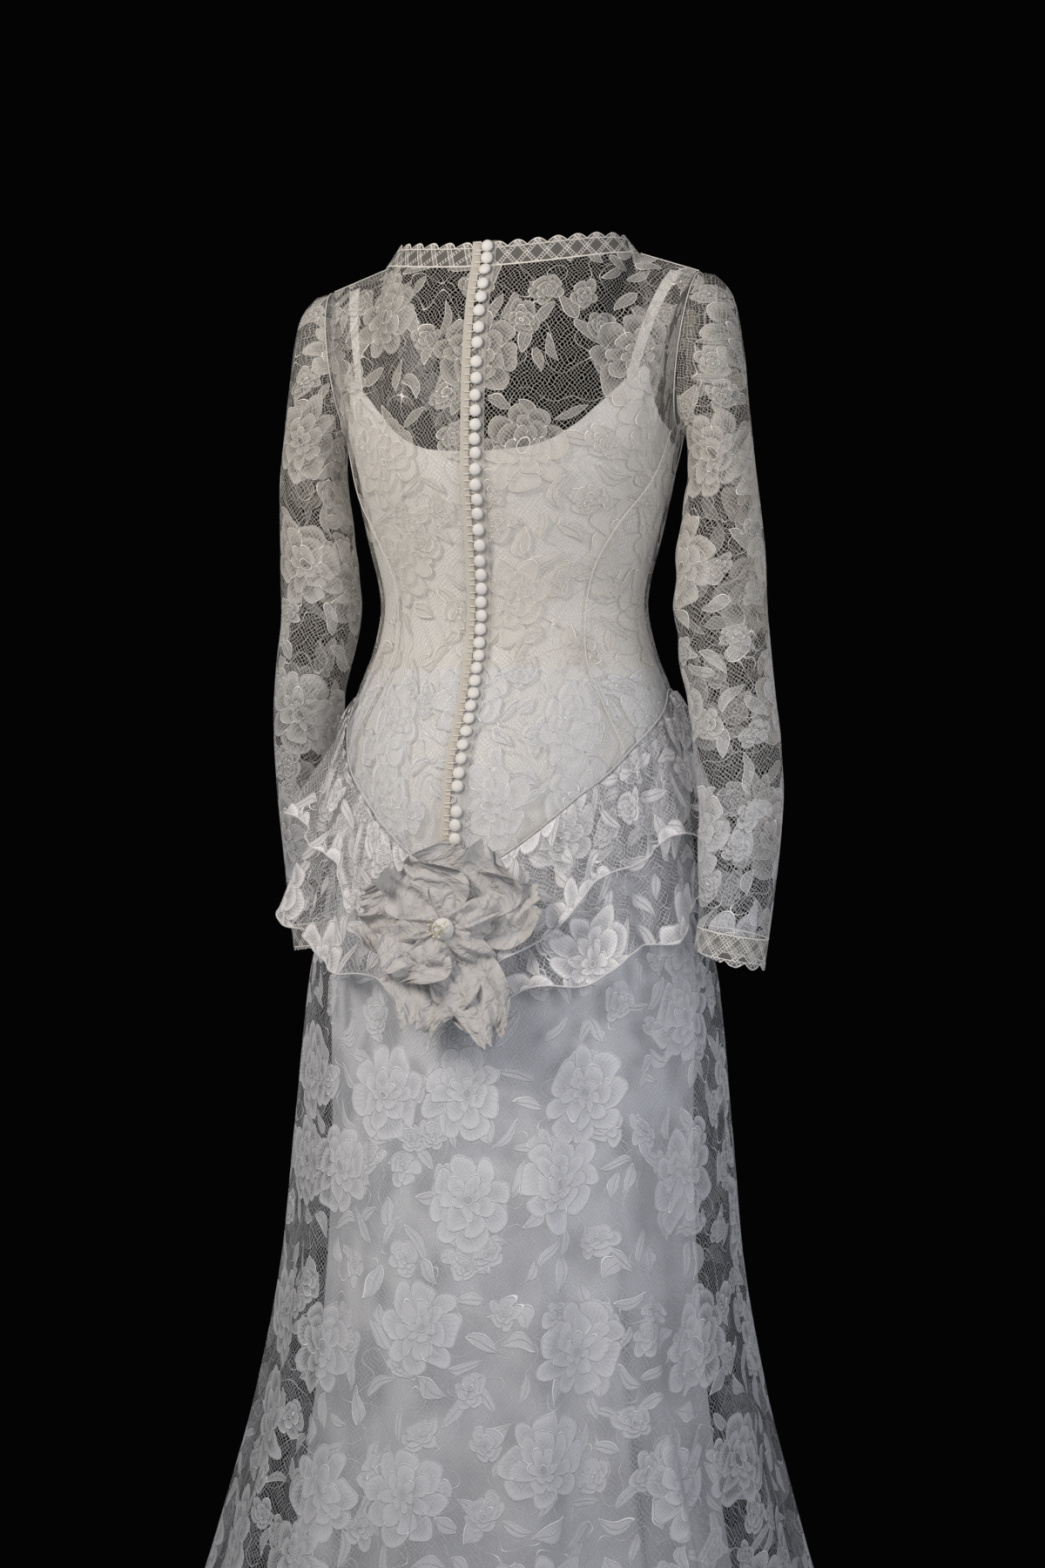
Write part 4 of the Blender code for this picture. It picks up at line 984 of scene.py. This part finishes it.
# slip
def slipPoint(angle, z, lift=laceLift):
    if z <= splitZ:
        if z < underRings[0][0]:
            return underPoint(angle, z, lift)
        return bodyPoint(angle, z, lift - slipInset)
    a = abs(turnGap(angle, 0.0))
    side = 1 if turnGap(angle, 0.0) >= 0 else -1
    back = a <= 90.0
    seam = seamAngle(splitZ, back)
    middle = 0.0 if back else 180.0
    share = (a - middle) / (seam - middle)
    if share <= 1.0:
        return yokeSheet(share, riseAt(share, z, side, back), side, back, lift - slipInset)
    start = bodyPoint(side * a, splitZ, lift - slipInset)
    share = (a - seam) / (90.0 - seam)
    top = armhole(underarmTurn + (180.0 - underarmTurn) * share, side, back)
    top.x += side * (lift - slipInset)
    return start.lerp(top, (z - splitZ) / (top.z - splitZ))


def slipTorso(start, end):
    def place(u, v):
        angle = start + (end - start) * u
        top = blend(slipTop, abs(turnGap(angle, 0.0)))[0]
        bottom = basqueLevel(angle)
        return slipPoint(angle, bottom + (top - bottom) * v)
    return place


def slipSkirt(start, end):
    def place(u, v):
        angle = start + (end - start) * u
        return underPoint(angle, slipHemZ + (basqueLevel(angle) - slipHemZ) * v)
    return place


slipSheets = [
    ("slipBack", "slip_back", 120, slipTorso(-90.0, 90.0), slipCloth, (0.0, 0.0)),
    ("slipFront", "slip_front", 120, slipTorso(90.0, 270.0), slipCloth, (0.6, 0.0)),
    ("slipSkirtBack", "slip_skirt_back", 150, slipSkirt(-90.0, 90.0), underCloth, (0.0, 1.0)),
    ("slipSkirtFront", "slip_skirt_front", 150, slipSkirt(90.0, 270.0), underCloth, (0.8, 1.0)),
]
for name, node, columns, place, material, uvShift in slipSheets:
    finishPiece(gridSheet(name, columns, 60, place, material, uvShift), "slip", node)


def strapPlace(side):
    def place(u, v):
        over = 2 * v - 1
        back = over <= 0
        t = abs(over)
        share = 0.690 + (2 * (u if side > 0 else 1 - u) - 1) * 0.022
        level = blend(slipTop, abs(yokeAngle(share, back)))[0] - 0.006
        rise = 1.0 - (1.0 - riseAt(share, level, side, back)) * t
        p = yokeSheet(share, rise, side, back, laceLift - slipInset + 0.0004)
        q = yoke(share, 1.0, side, True) + Vector((side * -0.28, 0.0, -0.96)) * (slipInset * 1.2)
        near = max(1.0 - t / 0.12, 0.0)
        return p.lerp(q, near * near)
    return place


for name, side, node in (("strapRight", 1, "strap_right"), ("strapLeft", -1, "strap_left")):
    strap = gridSheet(name, 6, 90, strapPlace(side), slipCloth, (0.2, 0.2), 0.5)
    finishPiece(strap, "slip", node)
print("slip made")


# lace skirt
def skirtPlace(start, end):
    def place(u, v):
        angle = start + (end - start) * u
        top = basqueLevel(angle) - basqueGap
        return bodyPoint(angle, hemZ + (top - hemZ) * v)
    return place


skirtSheets = [
    ("skirtBackRight", "skirt_back_right", 110, skirtPlace(0.05, 89.95), (0.0, 0.3), 0.0),
    ("skirtBackLeft", "skirt_back_left", 110, skirtPlace(-89.95, -0.05), (0.0, 0.3), 1.0),
    ("skirtFront", "skirt_front", 200, skirtPlace(90.05, 269.95), (1.3, 0.6), 0.5),
]
for name, node, columns, place, uvShift, middle in skirtSheets:
    finishPiece(gridSheet(name, columns, 120, place, skirtLacePaintedCoolShade, uvShift, middle), "lace_skirt", node)
print("skirt made")

# peplum ruffles: name, node, tier, first angle, last angle, drop near the middle, halfway and far
peplum = [
    ("peplumUpperRight", "peplum_upper_right", 1, 7.5, 98.0, 0.100, 0.082, 0.122),
    ("peplumLowerRight", "peplum_lower_right", 0, 7.0, 100.0, 0.118, 0.168, 0.178),
    ("peplumUpperLeft", "peplum_upper_left", 1, -96.0, -3.5, 0.085, 0.066, 0.100),
    ("peplumLowerLeft", "peplum_lower_left", 0, -98.0, -3.0, 0.112, 0.160, 0.165),
]
# tier, side, angle of the crest, half width in degrees, extra slope there
ruffles = [
    (1, 1, 13.0, 6.5, 0.16), (1, 1, 31.0, 6.5, 0.13), (1, 1, 50.0, 7.0, 0.12), (1, 1, 69.0, 6.5, 0.08),
    (1, 1, 88.0, 7.5, 0.05), (1, -1, 14.0, 6.5, 0.15), (1, -1, 31.0, 6.5, 0.14), (1, -1, 50.0, 7.0, 0.22),
    (1, -1, 68.0, 7.5, 0.36), (1, -1, 87.0, 6.0, 0.06), (0, 1, 9.0, 6.5, 0.07), (0, 1, 26.0, 7.0, 0.08),
    (0, 1, 44.0, 7.0, 0.08), (0, 1, 62.0, 7.0, 0.06), (0, 1, 80.0, 7.0, 0.03), (0, 1, 97.0, 6.0, 0.03),
    (0, -1, 12.0, 6.5, 0.07), (0, -1, 29.0, 6.5, 0.08), (0, -1, 47.0, 7.0, 0.10), (0, -1, 66.0, 7.5, 0.17),
    (0, -1, 83.0, 7.0, 0.05), (0, -1, 97.0, 6.0, 0.02),
]


def ruffleSlope(tier, angle):
    side = 1 if angle >= 0 else -1
    slope = 0.15 if tier else 0.07
    for rowTier, rowSide, crest, width, extra in ruffles:
        if rowTier == tier and rowSide == side:
            d = (abs(angle) - crest) / width
            slope += extra * math.exp(-0.95 * d * d)
    if tier:
        slope = max(slope, ruffleSlope(0, angle) + 0.05)
    return slope


def peplumPlace(tier, start, end, near, middle, far):
    drops = [(4.0, near), (50.0, middle), (88.0, far), (104.0, far * 0.80)]

    def place(u, v):
        angle = start + (end - start) * u
        a = abs(angle)
        drop = blend(drops, a)[0] * (1.0 + 0.05 * math.sin(math.radians(a) * 13 + tier * 2))
        fall = drop * (1 - v)
        t = 1 - v
        r = math.radians(a)
        # gathers are tight at the seam and open into the waves
        gather = 0.0009 * math.sin(r * 74 + tier) * math.exp(-t / 0.25)
        gather += 0.0030 * math.sin(r * 31 + 2 * tier + 1.5 * t) * t * math.exp(-t / 0.6)
        gather += 0.0012 * math.sin(r * 57 + 4 * t) * t
        flick = 0.004 * tier * t ** 3
        stand = (0.0043 if tier else 0.0026) + ruffleSlope(tier, angle) * fall + gather + flick + 0.0010
        z = basqueLevel(a) - 0.0015 - fall
        base = bodyPoint(angle, z, 0.0)
        out = Vector((base.x, base.y, 0.0)).normalized()
        p = base + out * stand
        p.z = z
        return p
    return place


hemLines = []
for name, node, tier, start, end, near, middle, far in peplum:
    place = peplumPlace(tier, start, end, near, middle, far)
    piece = gridSheet(name, 220, 26, place, peplumLacePaintedLit, (0.9 * tier + 0.2, 0.5), 0.5)
    finishPiece(piece, "lace_skirt", node)
    hemLines.append([place(k / 160, 0.0) for k in range(161)])
    hemLines.append([place(0.0 if start < 0 else 1.0, k / 24) for k in range(25)])
# small gathered puffs at the tops of the side seams
puffs = [("sidePuffRight", 82.0, 99.0), ("sidePuffLeft", -97.0, -80.0)]
for name, start, end in puffs:
    def puffPlace(u, v, start=start, end=end):
        angle = start + (end - start) * u
        z = basqueLevel(angle) - 0.004 - 0.050 * (1 - v)
        base = bodyPoint(angle, z, 0.0)
        out = Vector((base.x, base.y, 0.0)).normalized()
        bulge = math.sin(math.pi * v) * (0.55 + 0.45 * math.sin(math.pi * u))
        ribs = 0.0016 * math.sin(19 * u + 2.0 * v) * math.sin(math.pi * v)
        return base + out * (0.0085 + 0.0065 * bulge + ribs)
    puff = gridSheet(name, 60, 24, puffPlace, peplumLacePaintedLit, (0.31, 0.77), 0.5)
    finishPiece(puff, "lace_skirt")
hems = cordPiece("peplumHems", hemLines, 0.0009, hemRoll, 2)
finishPiece(hems, "lace_skirt")
print("peplum made")


# buttons, loops and plackets
def backLine(x, z, lift):
    # point on the centre back, at a lift over the lace
    def surface(zz):
        if zz > 0.006:
            return Vector((x, 0.163 * (zz - neckBackZ) - neckBackDepth, zz))
        if zz > splitZ:
            p = yoke(0.0, riseAt(0.0, zz, 1, True), 1, True)
        else:
            p = bodyPoint(math.degrees(math.asin(x / blend(bodyRings, zz)[0])), zz, 0.0)
        return Vector((x, p.y, zz))
    here = surface(z)
    up = (surface(min(z + 0.005, 0.029)) - surface(z - 0.005)).normalized()
    out = Vector((1.0, 0.0, 0.0)).cross(up).normalized()
    if out.y > 0:
        out = -out
    return here + out * lift, out


buttonHeights = [
    0.0240, 0.0125, 0.0000, -0.0140, -0.0270, -0.0400, -0.0560, -0.0705, -0.0885, -0.1040,
    -0.1200, -0.1345, -0.1475, -0.1610, -0.1740, -0.1890, -0.2030, -0.2165, -0.2295, -0.2445,
    -0.2590, -0.2735, -0.2865, -0.2995, -0.3125, -0.3255, -0.3385, -0.3515, -0.3640, -0.3760,
    -0.3880, -0.4000, -0.4120, -0.4240, -0.4360, -0.4485, -0.4610, -0.4740, -0.4860, -0.5090,
    -0.5215, -0.5340,
]
# the loop whose button is missing
spareLoopZ = -0.4975
buttonRadius = 0.0059
closureFoot = -0.5415
closureTop = 0.0295

buttons = []
for k, z in enumerate(buttonHeights):
    p, out = backLine(0.0004 * math.sin(k * 2.3), z, 0.0042)
    tilt = 0.10 * math.sin(k * 1.7)
    ball = ballPiece(p, buttonRadius, 20, 12)
    ball.scale = (1.0, 1.0, 0.48)
    ball.rotation_mode = "QUATERNION"
    ball.rotation_quaternion = Vector((tilt, out.y, out.z + 0.6 * tilt)).to_track_quat("Z", "Y")
    buttons.append(ball)
buttonRow = joinedPiece("coveredButtons", buttons, buttonCloth)
finishPiece(buttonRow, "button", *["buttons_%02d" % (k + 1) for k in range(14)])

loopLines = []
for z in sorted(buttonHeights + [spareLoopZ], reverse=True):
    line = []
    for k in range(13):
        t = k / 12
        turn = math.pi * (t - 0.5)
        x = -0.0120 + 0.0105 * math.cos(turn) ** 0.7
        zz = z + 0.0040 * math.sin(turn)
        line.append(backLine(x, zz, 0.0028 - 0.0006 * math.cos(turn))[0])
    loopLines.append(line)
loops = cordPiece("buttonLoops", loopLines, 0.0007, trimCord, 2)
finishPiece(loops, "trim")


def stripPlace(x0, x1, lift):
    def place(u, v):
        z = closureFoot + (closureTop - closureFoot) * v
        return backLine(x0 + (x1 - x0) * u, z, lift)[0]
    return place


placket = gridSheet("loopPlacketStrip", 4, 260, stripPlace(-0.0155, -0.0070, 0.0021), placketCloth)
finishPiece(placket, "trim", "loop_placket")
stand = gridSheet("buttonStandStrip", 4, 260, stripPlace(0.0010, 0.0085, 0.0019), standCloth)
finishPiece(stand, "trim", "button_stand")
print("buttons made")

# seams drawn by fine cords
seamLift = 0.0016
seams = []
for side in (1, -1):
    for back, low, count in ((True, -0.450, 70), (False, -0.425, 60)):
        heights = np.linspace(low, -0.150, count)
        seams.append([bodyPoint(side * seamAngle(z, back), z, seamLift) for z in heights])
    for back, out in ((True, -seamLift), (False, seamLift)):
        line = []
        for t in np.linspace(0, 180, 50):
            away = Vector((side * 0.0012, out * math.sin(math.radians(t)), 0.0))
            line.append(armhole(t, side, back) + away)
        seams.append(line)
    shares = np.linspace(neckShare + 0.005, armShare, 20)
    seams.append([yokeTop(s, side, True) + Vector((0.0, 0.0, seamLift)) for s in shares])
for angles in (np.linspace(-100, 100, 260), np.linspace(100, 260, 160)):
    seams.append([bodyPoint(a, basqueLevel(a), seamLift) for a in angles])
seamLines = cordPiece("seamLines", seams, 0.0006, seamCord)
finishPiece(seamLines, "lace")
hemLine = [bodyPoint(a, hemZ + 0.001, 0.001) for a in np.linspace(0, 360, 500)]
hemCords = cordPiece("skirtHemCord", [hemLine], 0.0014, hemRoll, 2)
finishPiece(hemCords, "lace_skirt")

# organza flower: name, node, turn, length, half width, root lift, curl, seed
petals = [
    ("petalLeft", "petal_left", -80.0, 0.076, 0.042, 0.0300, 0.012, 0.3),
    ("petalRight", "petal_right", 62.0, 0.072, 0.038, 0.0328, 0.012, 1.9),
    ("petalTop", "petal_top", 14.0, 0.080, 0.046, 0.0356, 0.013, 3.1),
    ("petalBottom", "petal_bottom", 190.0, 0.094, 0.036, 0.0384, 0.005, 4.4),
    ("petalTail", "petal_tail", 160.0, 0.108, 0.028, 0.0412, 0.003, 5.2),
    ("petalUpperLeft", "petal_upper_left", -24.0, 0.066, 0.034, 0.0440, 0.016, 0.9),
    ("petalLowerLeft", "petal_lower_left", -138.0, 0.056, 0.032, 0.0468, 0.018, 2.5),
]
flowerX, flowerZ = 0.006, -0.614
petalFoot = 0.0088


def flowerBase(x, z):
    sizes = blend(bodyRings, z)
    p = bodyPoint(math.degrees(math.asin(max(min(x / sizes[0], 0.9), -0.9))), z, 0.0)
    return p, Vector((p.x, p.y, 0.0)).normalized()


for name, node, turn, length, half, root, curl, seed in petals:
    def place(u, v, turn=turn, length=length, half=half, root=root, curl=curl, seed=seed):
        dx = math.sin(math.radians(turn))
        dz = math.cos(math.radians(turn))
        reach = petalFoot + (length - petalFoot) * v
        width = 0.004 + (half - 0.004) * math.sin(math.pi * min(0.88 * v ** 0.75, 1.0)) ** 0.8
        w = 2 * u - 1
        ragged = math.sin(5 * w + 3 * seed) + 0.6 * math.sin(11 * w + seed)
        ragged += 0.4 * math.sin(23 * w + 2 * seed)
        off = length * v * v * (0.12 * w * w + 0.045 * ragged)
        x = flowerX + dx * (reach - off) + dz * width * w
        z = flowerZ + dz * (reach - off) - dx * width * w
        base, out = flowerBase(x, z)
        r = math.hypot(x - flowerX, z - flowerZ) / 0.09
        crinkle = 0.0058 * math.sin(4.2 * w + 2.0 * math.sin(3 * v + seed) + seed)
        crinkle += 0.0032 * math.sin(8 * v + 4 * w + 2 * seed + 1.5 * math.sin(6 * w + seed))
        crinkle += 0.0020 * math.sin(13 * w + 9 * v + 2.0 * math.sin(7 * v + seed))
        crinkle = v * (crinkle + 0.0060 * w * w * math.sin(11 * v + 3 * w + seed))
        cup = 0.006 * w * w * v
        return base + out * (root + curl * r * r + crinkle + cup)
    piece = gridSheet(name, 60, 70, place, organza, (seed, 0.0), 0.5)
    piece.modifiers.new("thickness", "SOLIDIFY").thickness = 0.0005
    select(piece)
    bpy.ops.object.modifier_apply(modifier="thickness")
    finishPiece(piece, "organza", node)

# ruffled folds of organza heaped round the middle: turn, reach, root lift, seed
folds = [
    ("foldTop", 30.0, 0.050, 0.046, 1.0), ("foldRight", 120.0, 0.046, 0.048, 2.2),
    ("foldLow", 205.0, 0.050, 0.047, 3.7), ("foldLeft", 290.0, 0.048, 0.049, 5.1),
]
for name, turn, reach, root, seed in folds:
    def place(u, v, turn=turn, reach=reach, root=root, seed=seed):
        around = math.radians(turn + 105.0 * (u - 0.5))
        far = reach * (0.80 + 0.16 * math.sin(9 * u + seed) + 0.07 * math.sin(23 * u + seed))
        r = 0.007 + (far - 0.007) * v
        x = flowerX + math.sin(around) * r
        z = flowerZ + math.cos(around) * r
        base, out = flowerBase(x, z)
        heap = 0.0075 * math.sin(math.pi * v) - 0.010 * v * v
        waves = 0.0042 * v * math.sin(13 * u + 2 * math.sin(4 * v + seed) + seed)
        waves += 0.0018 * v * math.sin(29 * u + 7 * v)
        return base + out * (root + heap + waves)
    piece = gridSheet(name, 70, 40, place, organza, (seed, 0.4), 0.5)
    finishPiece(piece, "organza")


def gatherPlace(u, v):
    # pleated neck of the flower, from the cloth out to the petals
    around = math.radians(360 * u)
    r = (0.010 + 0.026 * v ** 1.5) * (1 + 0.16 * v * math.sin(9 * around))
    base, out = flowerBase(flowerX + math.sin(around) * r, flowerZ + math.cos(around) * r)
    return base + out * (0.004 + 0.034 * v)


gather = gridSheet("flowerGather", 144, 12, gatherPlace, organza, weld=True)
finishPiece(gather, "organza")

# the heart of the flower and its stamens
base, out = flowerBase(flowerX, flowerZ)
heart = ballPiece(base + out * 0.050, 0.0105, 24, 14)
heart.scale = (1.0, 0.75, 1.0)
finishPiece(joinedPiece("flowerHeart", [heart], buttonCloth), "organza", "flower_centre")
stalks = []
tips = []
for k in range(16):
    turn = k * 2.4
    spread = 0.0025 + 0.0085 * (k % 5) / 4
    around = Vector((math.cos(turn) * spread, 0.0, math.sin(turn) * spread))
    tip = base + out * (0.0640 + 0.004 * math.cos(k)) + around
    foot = base + out * 0.054 + around * 0.4
    stalks.append([foot, (foot + tip) / 2 + out * 0.001, tip])
    tips.append(ballPiece(tip, 0.0013, 8, 6))
finishPiece(joinedPiece("stamenTips", tips, stamenCloth), "organza")
finishPiece(cordPiece("stamenStalks", stalks, 0.00035, stamenCloth), "organza")
print("flower made")

# the flat cut of each cloth piece: width, length and area in metres
cuts = [
    ("backCentreRightLace", 0.20, 0.64, 0.085), ("backCentreLeftLace", 0.20, 0.64, 0.085),
    ("backSideRightLace", 0.09, 0.32, 0.018), ("backSideLeftLace", 0.09, 0.32, 0.018),
    ("frontSideRightLace", 0.10, 0.31, 0.020), ("frontSideLeftLace", 0.10, 0.31, 0.020),
    ("frontCentreLace", 0.30, 0.50, 0.113),
    ("sleeveRightLace", 0.29, 0.66, 0.139), ("sleeveLeftLace", 0.28, 0.66, 0.129),
    ("cuffRightEdging", 0.17, 0.040, 0.0054), ("cuffLeftEdging", 0.16, 0.036, 0.0051),
    ("neckBackRightEdging", 0.155, 0.026, 0.0038), ("neckBackLeftEdging", 0.155, 0.026, 0.0038),
    ("neckFrontEdging", 0.55, 0.026, 0.0135),
    ("slipBack", 0.34, 0.52, 0.138), ("slipFront", 0.33, 0.45, 0.113),
    ("slipSkirtBack", 0.72, 1.02, 0.530), ("slipSkirtFront", 0.66, 1.02, 0.518),
    ("strapRight", 0.012, 0.26, 0.0028), ("strapLeft", 0.012, 0.26, 0.0028),
    ("skirtBackRight", 0.55, 1.02, 0.353), ("skirtBackLeft", 0.55, 1.02, 0.349),
    ("skirtFront", 0.92, 1.02, 0.666),
    ("peplumUpperRight", 0.30, 0.13, 0.030), ("peplumLowerRight", 0.32, 0.19, 0.049),
    ("peplumUpperLeft", 0.30, 0.11, 0.027), ("peplumLowerLeft", 0.32, 0.18, 0.049),
    ("loopPlacketStrip", 0.010, 0.58, 0.0050), ("buttonStandStrip", 0.010, 0.58, 0.0043),
    ("sidePuffRight", 0.050, 0.052, 0.0021), ("sidePuffLeft", 0.050, 0.052, 0.0021),
    ("foldTop", 0.050, 0.060, 0.0024), ("foldRight", 0.050, 0.055, 0.0021),
    ("foldLow", 0.050, 0.060, 0.0024), ("foldLeft", 0.050, 0.057, 0.0022),
    ("flowerGather", 0.200, 0.045, 0.0058),
    ("petalLeft", 0.085, 0.080, 0.0062), ("petalRight", 0.077, 0.075, 0.0052),
    ("petalTop", 0.093, 0.085, 0.0070), ("petalBottom", 0.073, 0.100, 0.0066),
    ("petalTail", 0.057, 0.115, 0.0060), ("petalUpperLeft", 0.069, 0.070, 0.0043),
    ("petalLowerLeft", 0.065, 0.060, 0.0034),
]
for name, width, length, area in cuts:
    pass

# floor, light and camera
bpy.ops.mesh.primitive_cylinder_add(vertices=128, radius=0.60, depth=0.02, location=(0.0, 0.0, hemZ - 0.012))
floor = bpy.context.active_object
floor.name = "floorDisc"
floor.data.materials.append(cloth("floorPaint", (0.62, 0.62, 0.61), 0.7))

world = bpy.data.worlds.new("studio")
bpy.context.scene.world = world
world.use_nodes = True
worldNodes = Nodes(world.node_tree)
for node in list(world.node_tree.nodes):
    world.node_tree.nodes.remove(node)
soft = worldNodes.put("ShaderNodeBackground")
soft.inputs["Color"].default_value = (0.80, 0.86, 1.0, 1.0)
soft.inputs["Strength"].default_value = 0.17
dark = worldNodes.put("ShaderNodeBackground")
dark.inputs["Color"].default_value = (0.0012, 0.0012, 0.0014, 1.0)
path = worldNodes.put("ShaderNodeLightPath")
pick = worldNodes.put("ShaderNodeMixShader")
output = worldNodes.put("ShaderNodeOutputWorld")
worldNodes.link(path.outputs["Is Camera Ray"], pick.inputs[0])
worldNodes.link(soft.outputs[0], pick.inputs[1])
worldNodes.link(dark.outputs[0], pick.inputs[2])
worldNodes.link(pick.outputs[0], output.inputs[0])


def areaLight(name, location, target, size, power, colour):
    data = bpy.data.lights.new(name, "AREA")
    data.size = size
    data.energy = power
    data.color = colour
    light = bpy.data.objects.new(name, data)
    light.location = location
    light.rotation_mode = "QUATERNION"
    light.rotation_quaternion = (Vector(location) - Vector(target)).to_track_quat("Z", "Y")
    bpy.context.collection.objects.link(light)


areaLight("keyLight", (-0.9, -1.8, 0.70), (0.0, 0.0, -0.30), 1.0, 42.0, (1.0, 0.955, 0.90))
areaLight("fillLight", (1.9, -1.5, -0.3), (0.0, 0.0, -0.6), 1.2, 25.0, (0.92, 0.94, 1.0))
areaLight("backLight", (0.8, 2.8, 1.4), (0.0, 0.0, -0.5), 1.4, 10.0, (1.0, 0.97, 0.92))

cameraTurn = math.radians(20.0)
cameraDistance = 3.0
cameraZ = -0.483
cameraData = bpy.data.cameras.new("camera")
cameraData.lens = 71.4
cameraData.sensor_width = 36.0
cameraData.shift_x = 0.0061
camera = bpy.data.objects.new("camera", cameraData)
camera.location = (cameraDistance * math.sin(cameraTurn), -cameraDistance * math.cos(cameraTurn), cameraZ)
camera.rotation_euler = (math.pi / 2, 0.0, cameraTurn)
bpy.context.collection.objects.link(camera)
bpy.context.scene.camera = camera
bpy.context.scene.view_settings.view_transform = "Standard"
print("stage made")
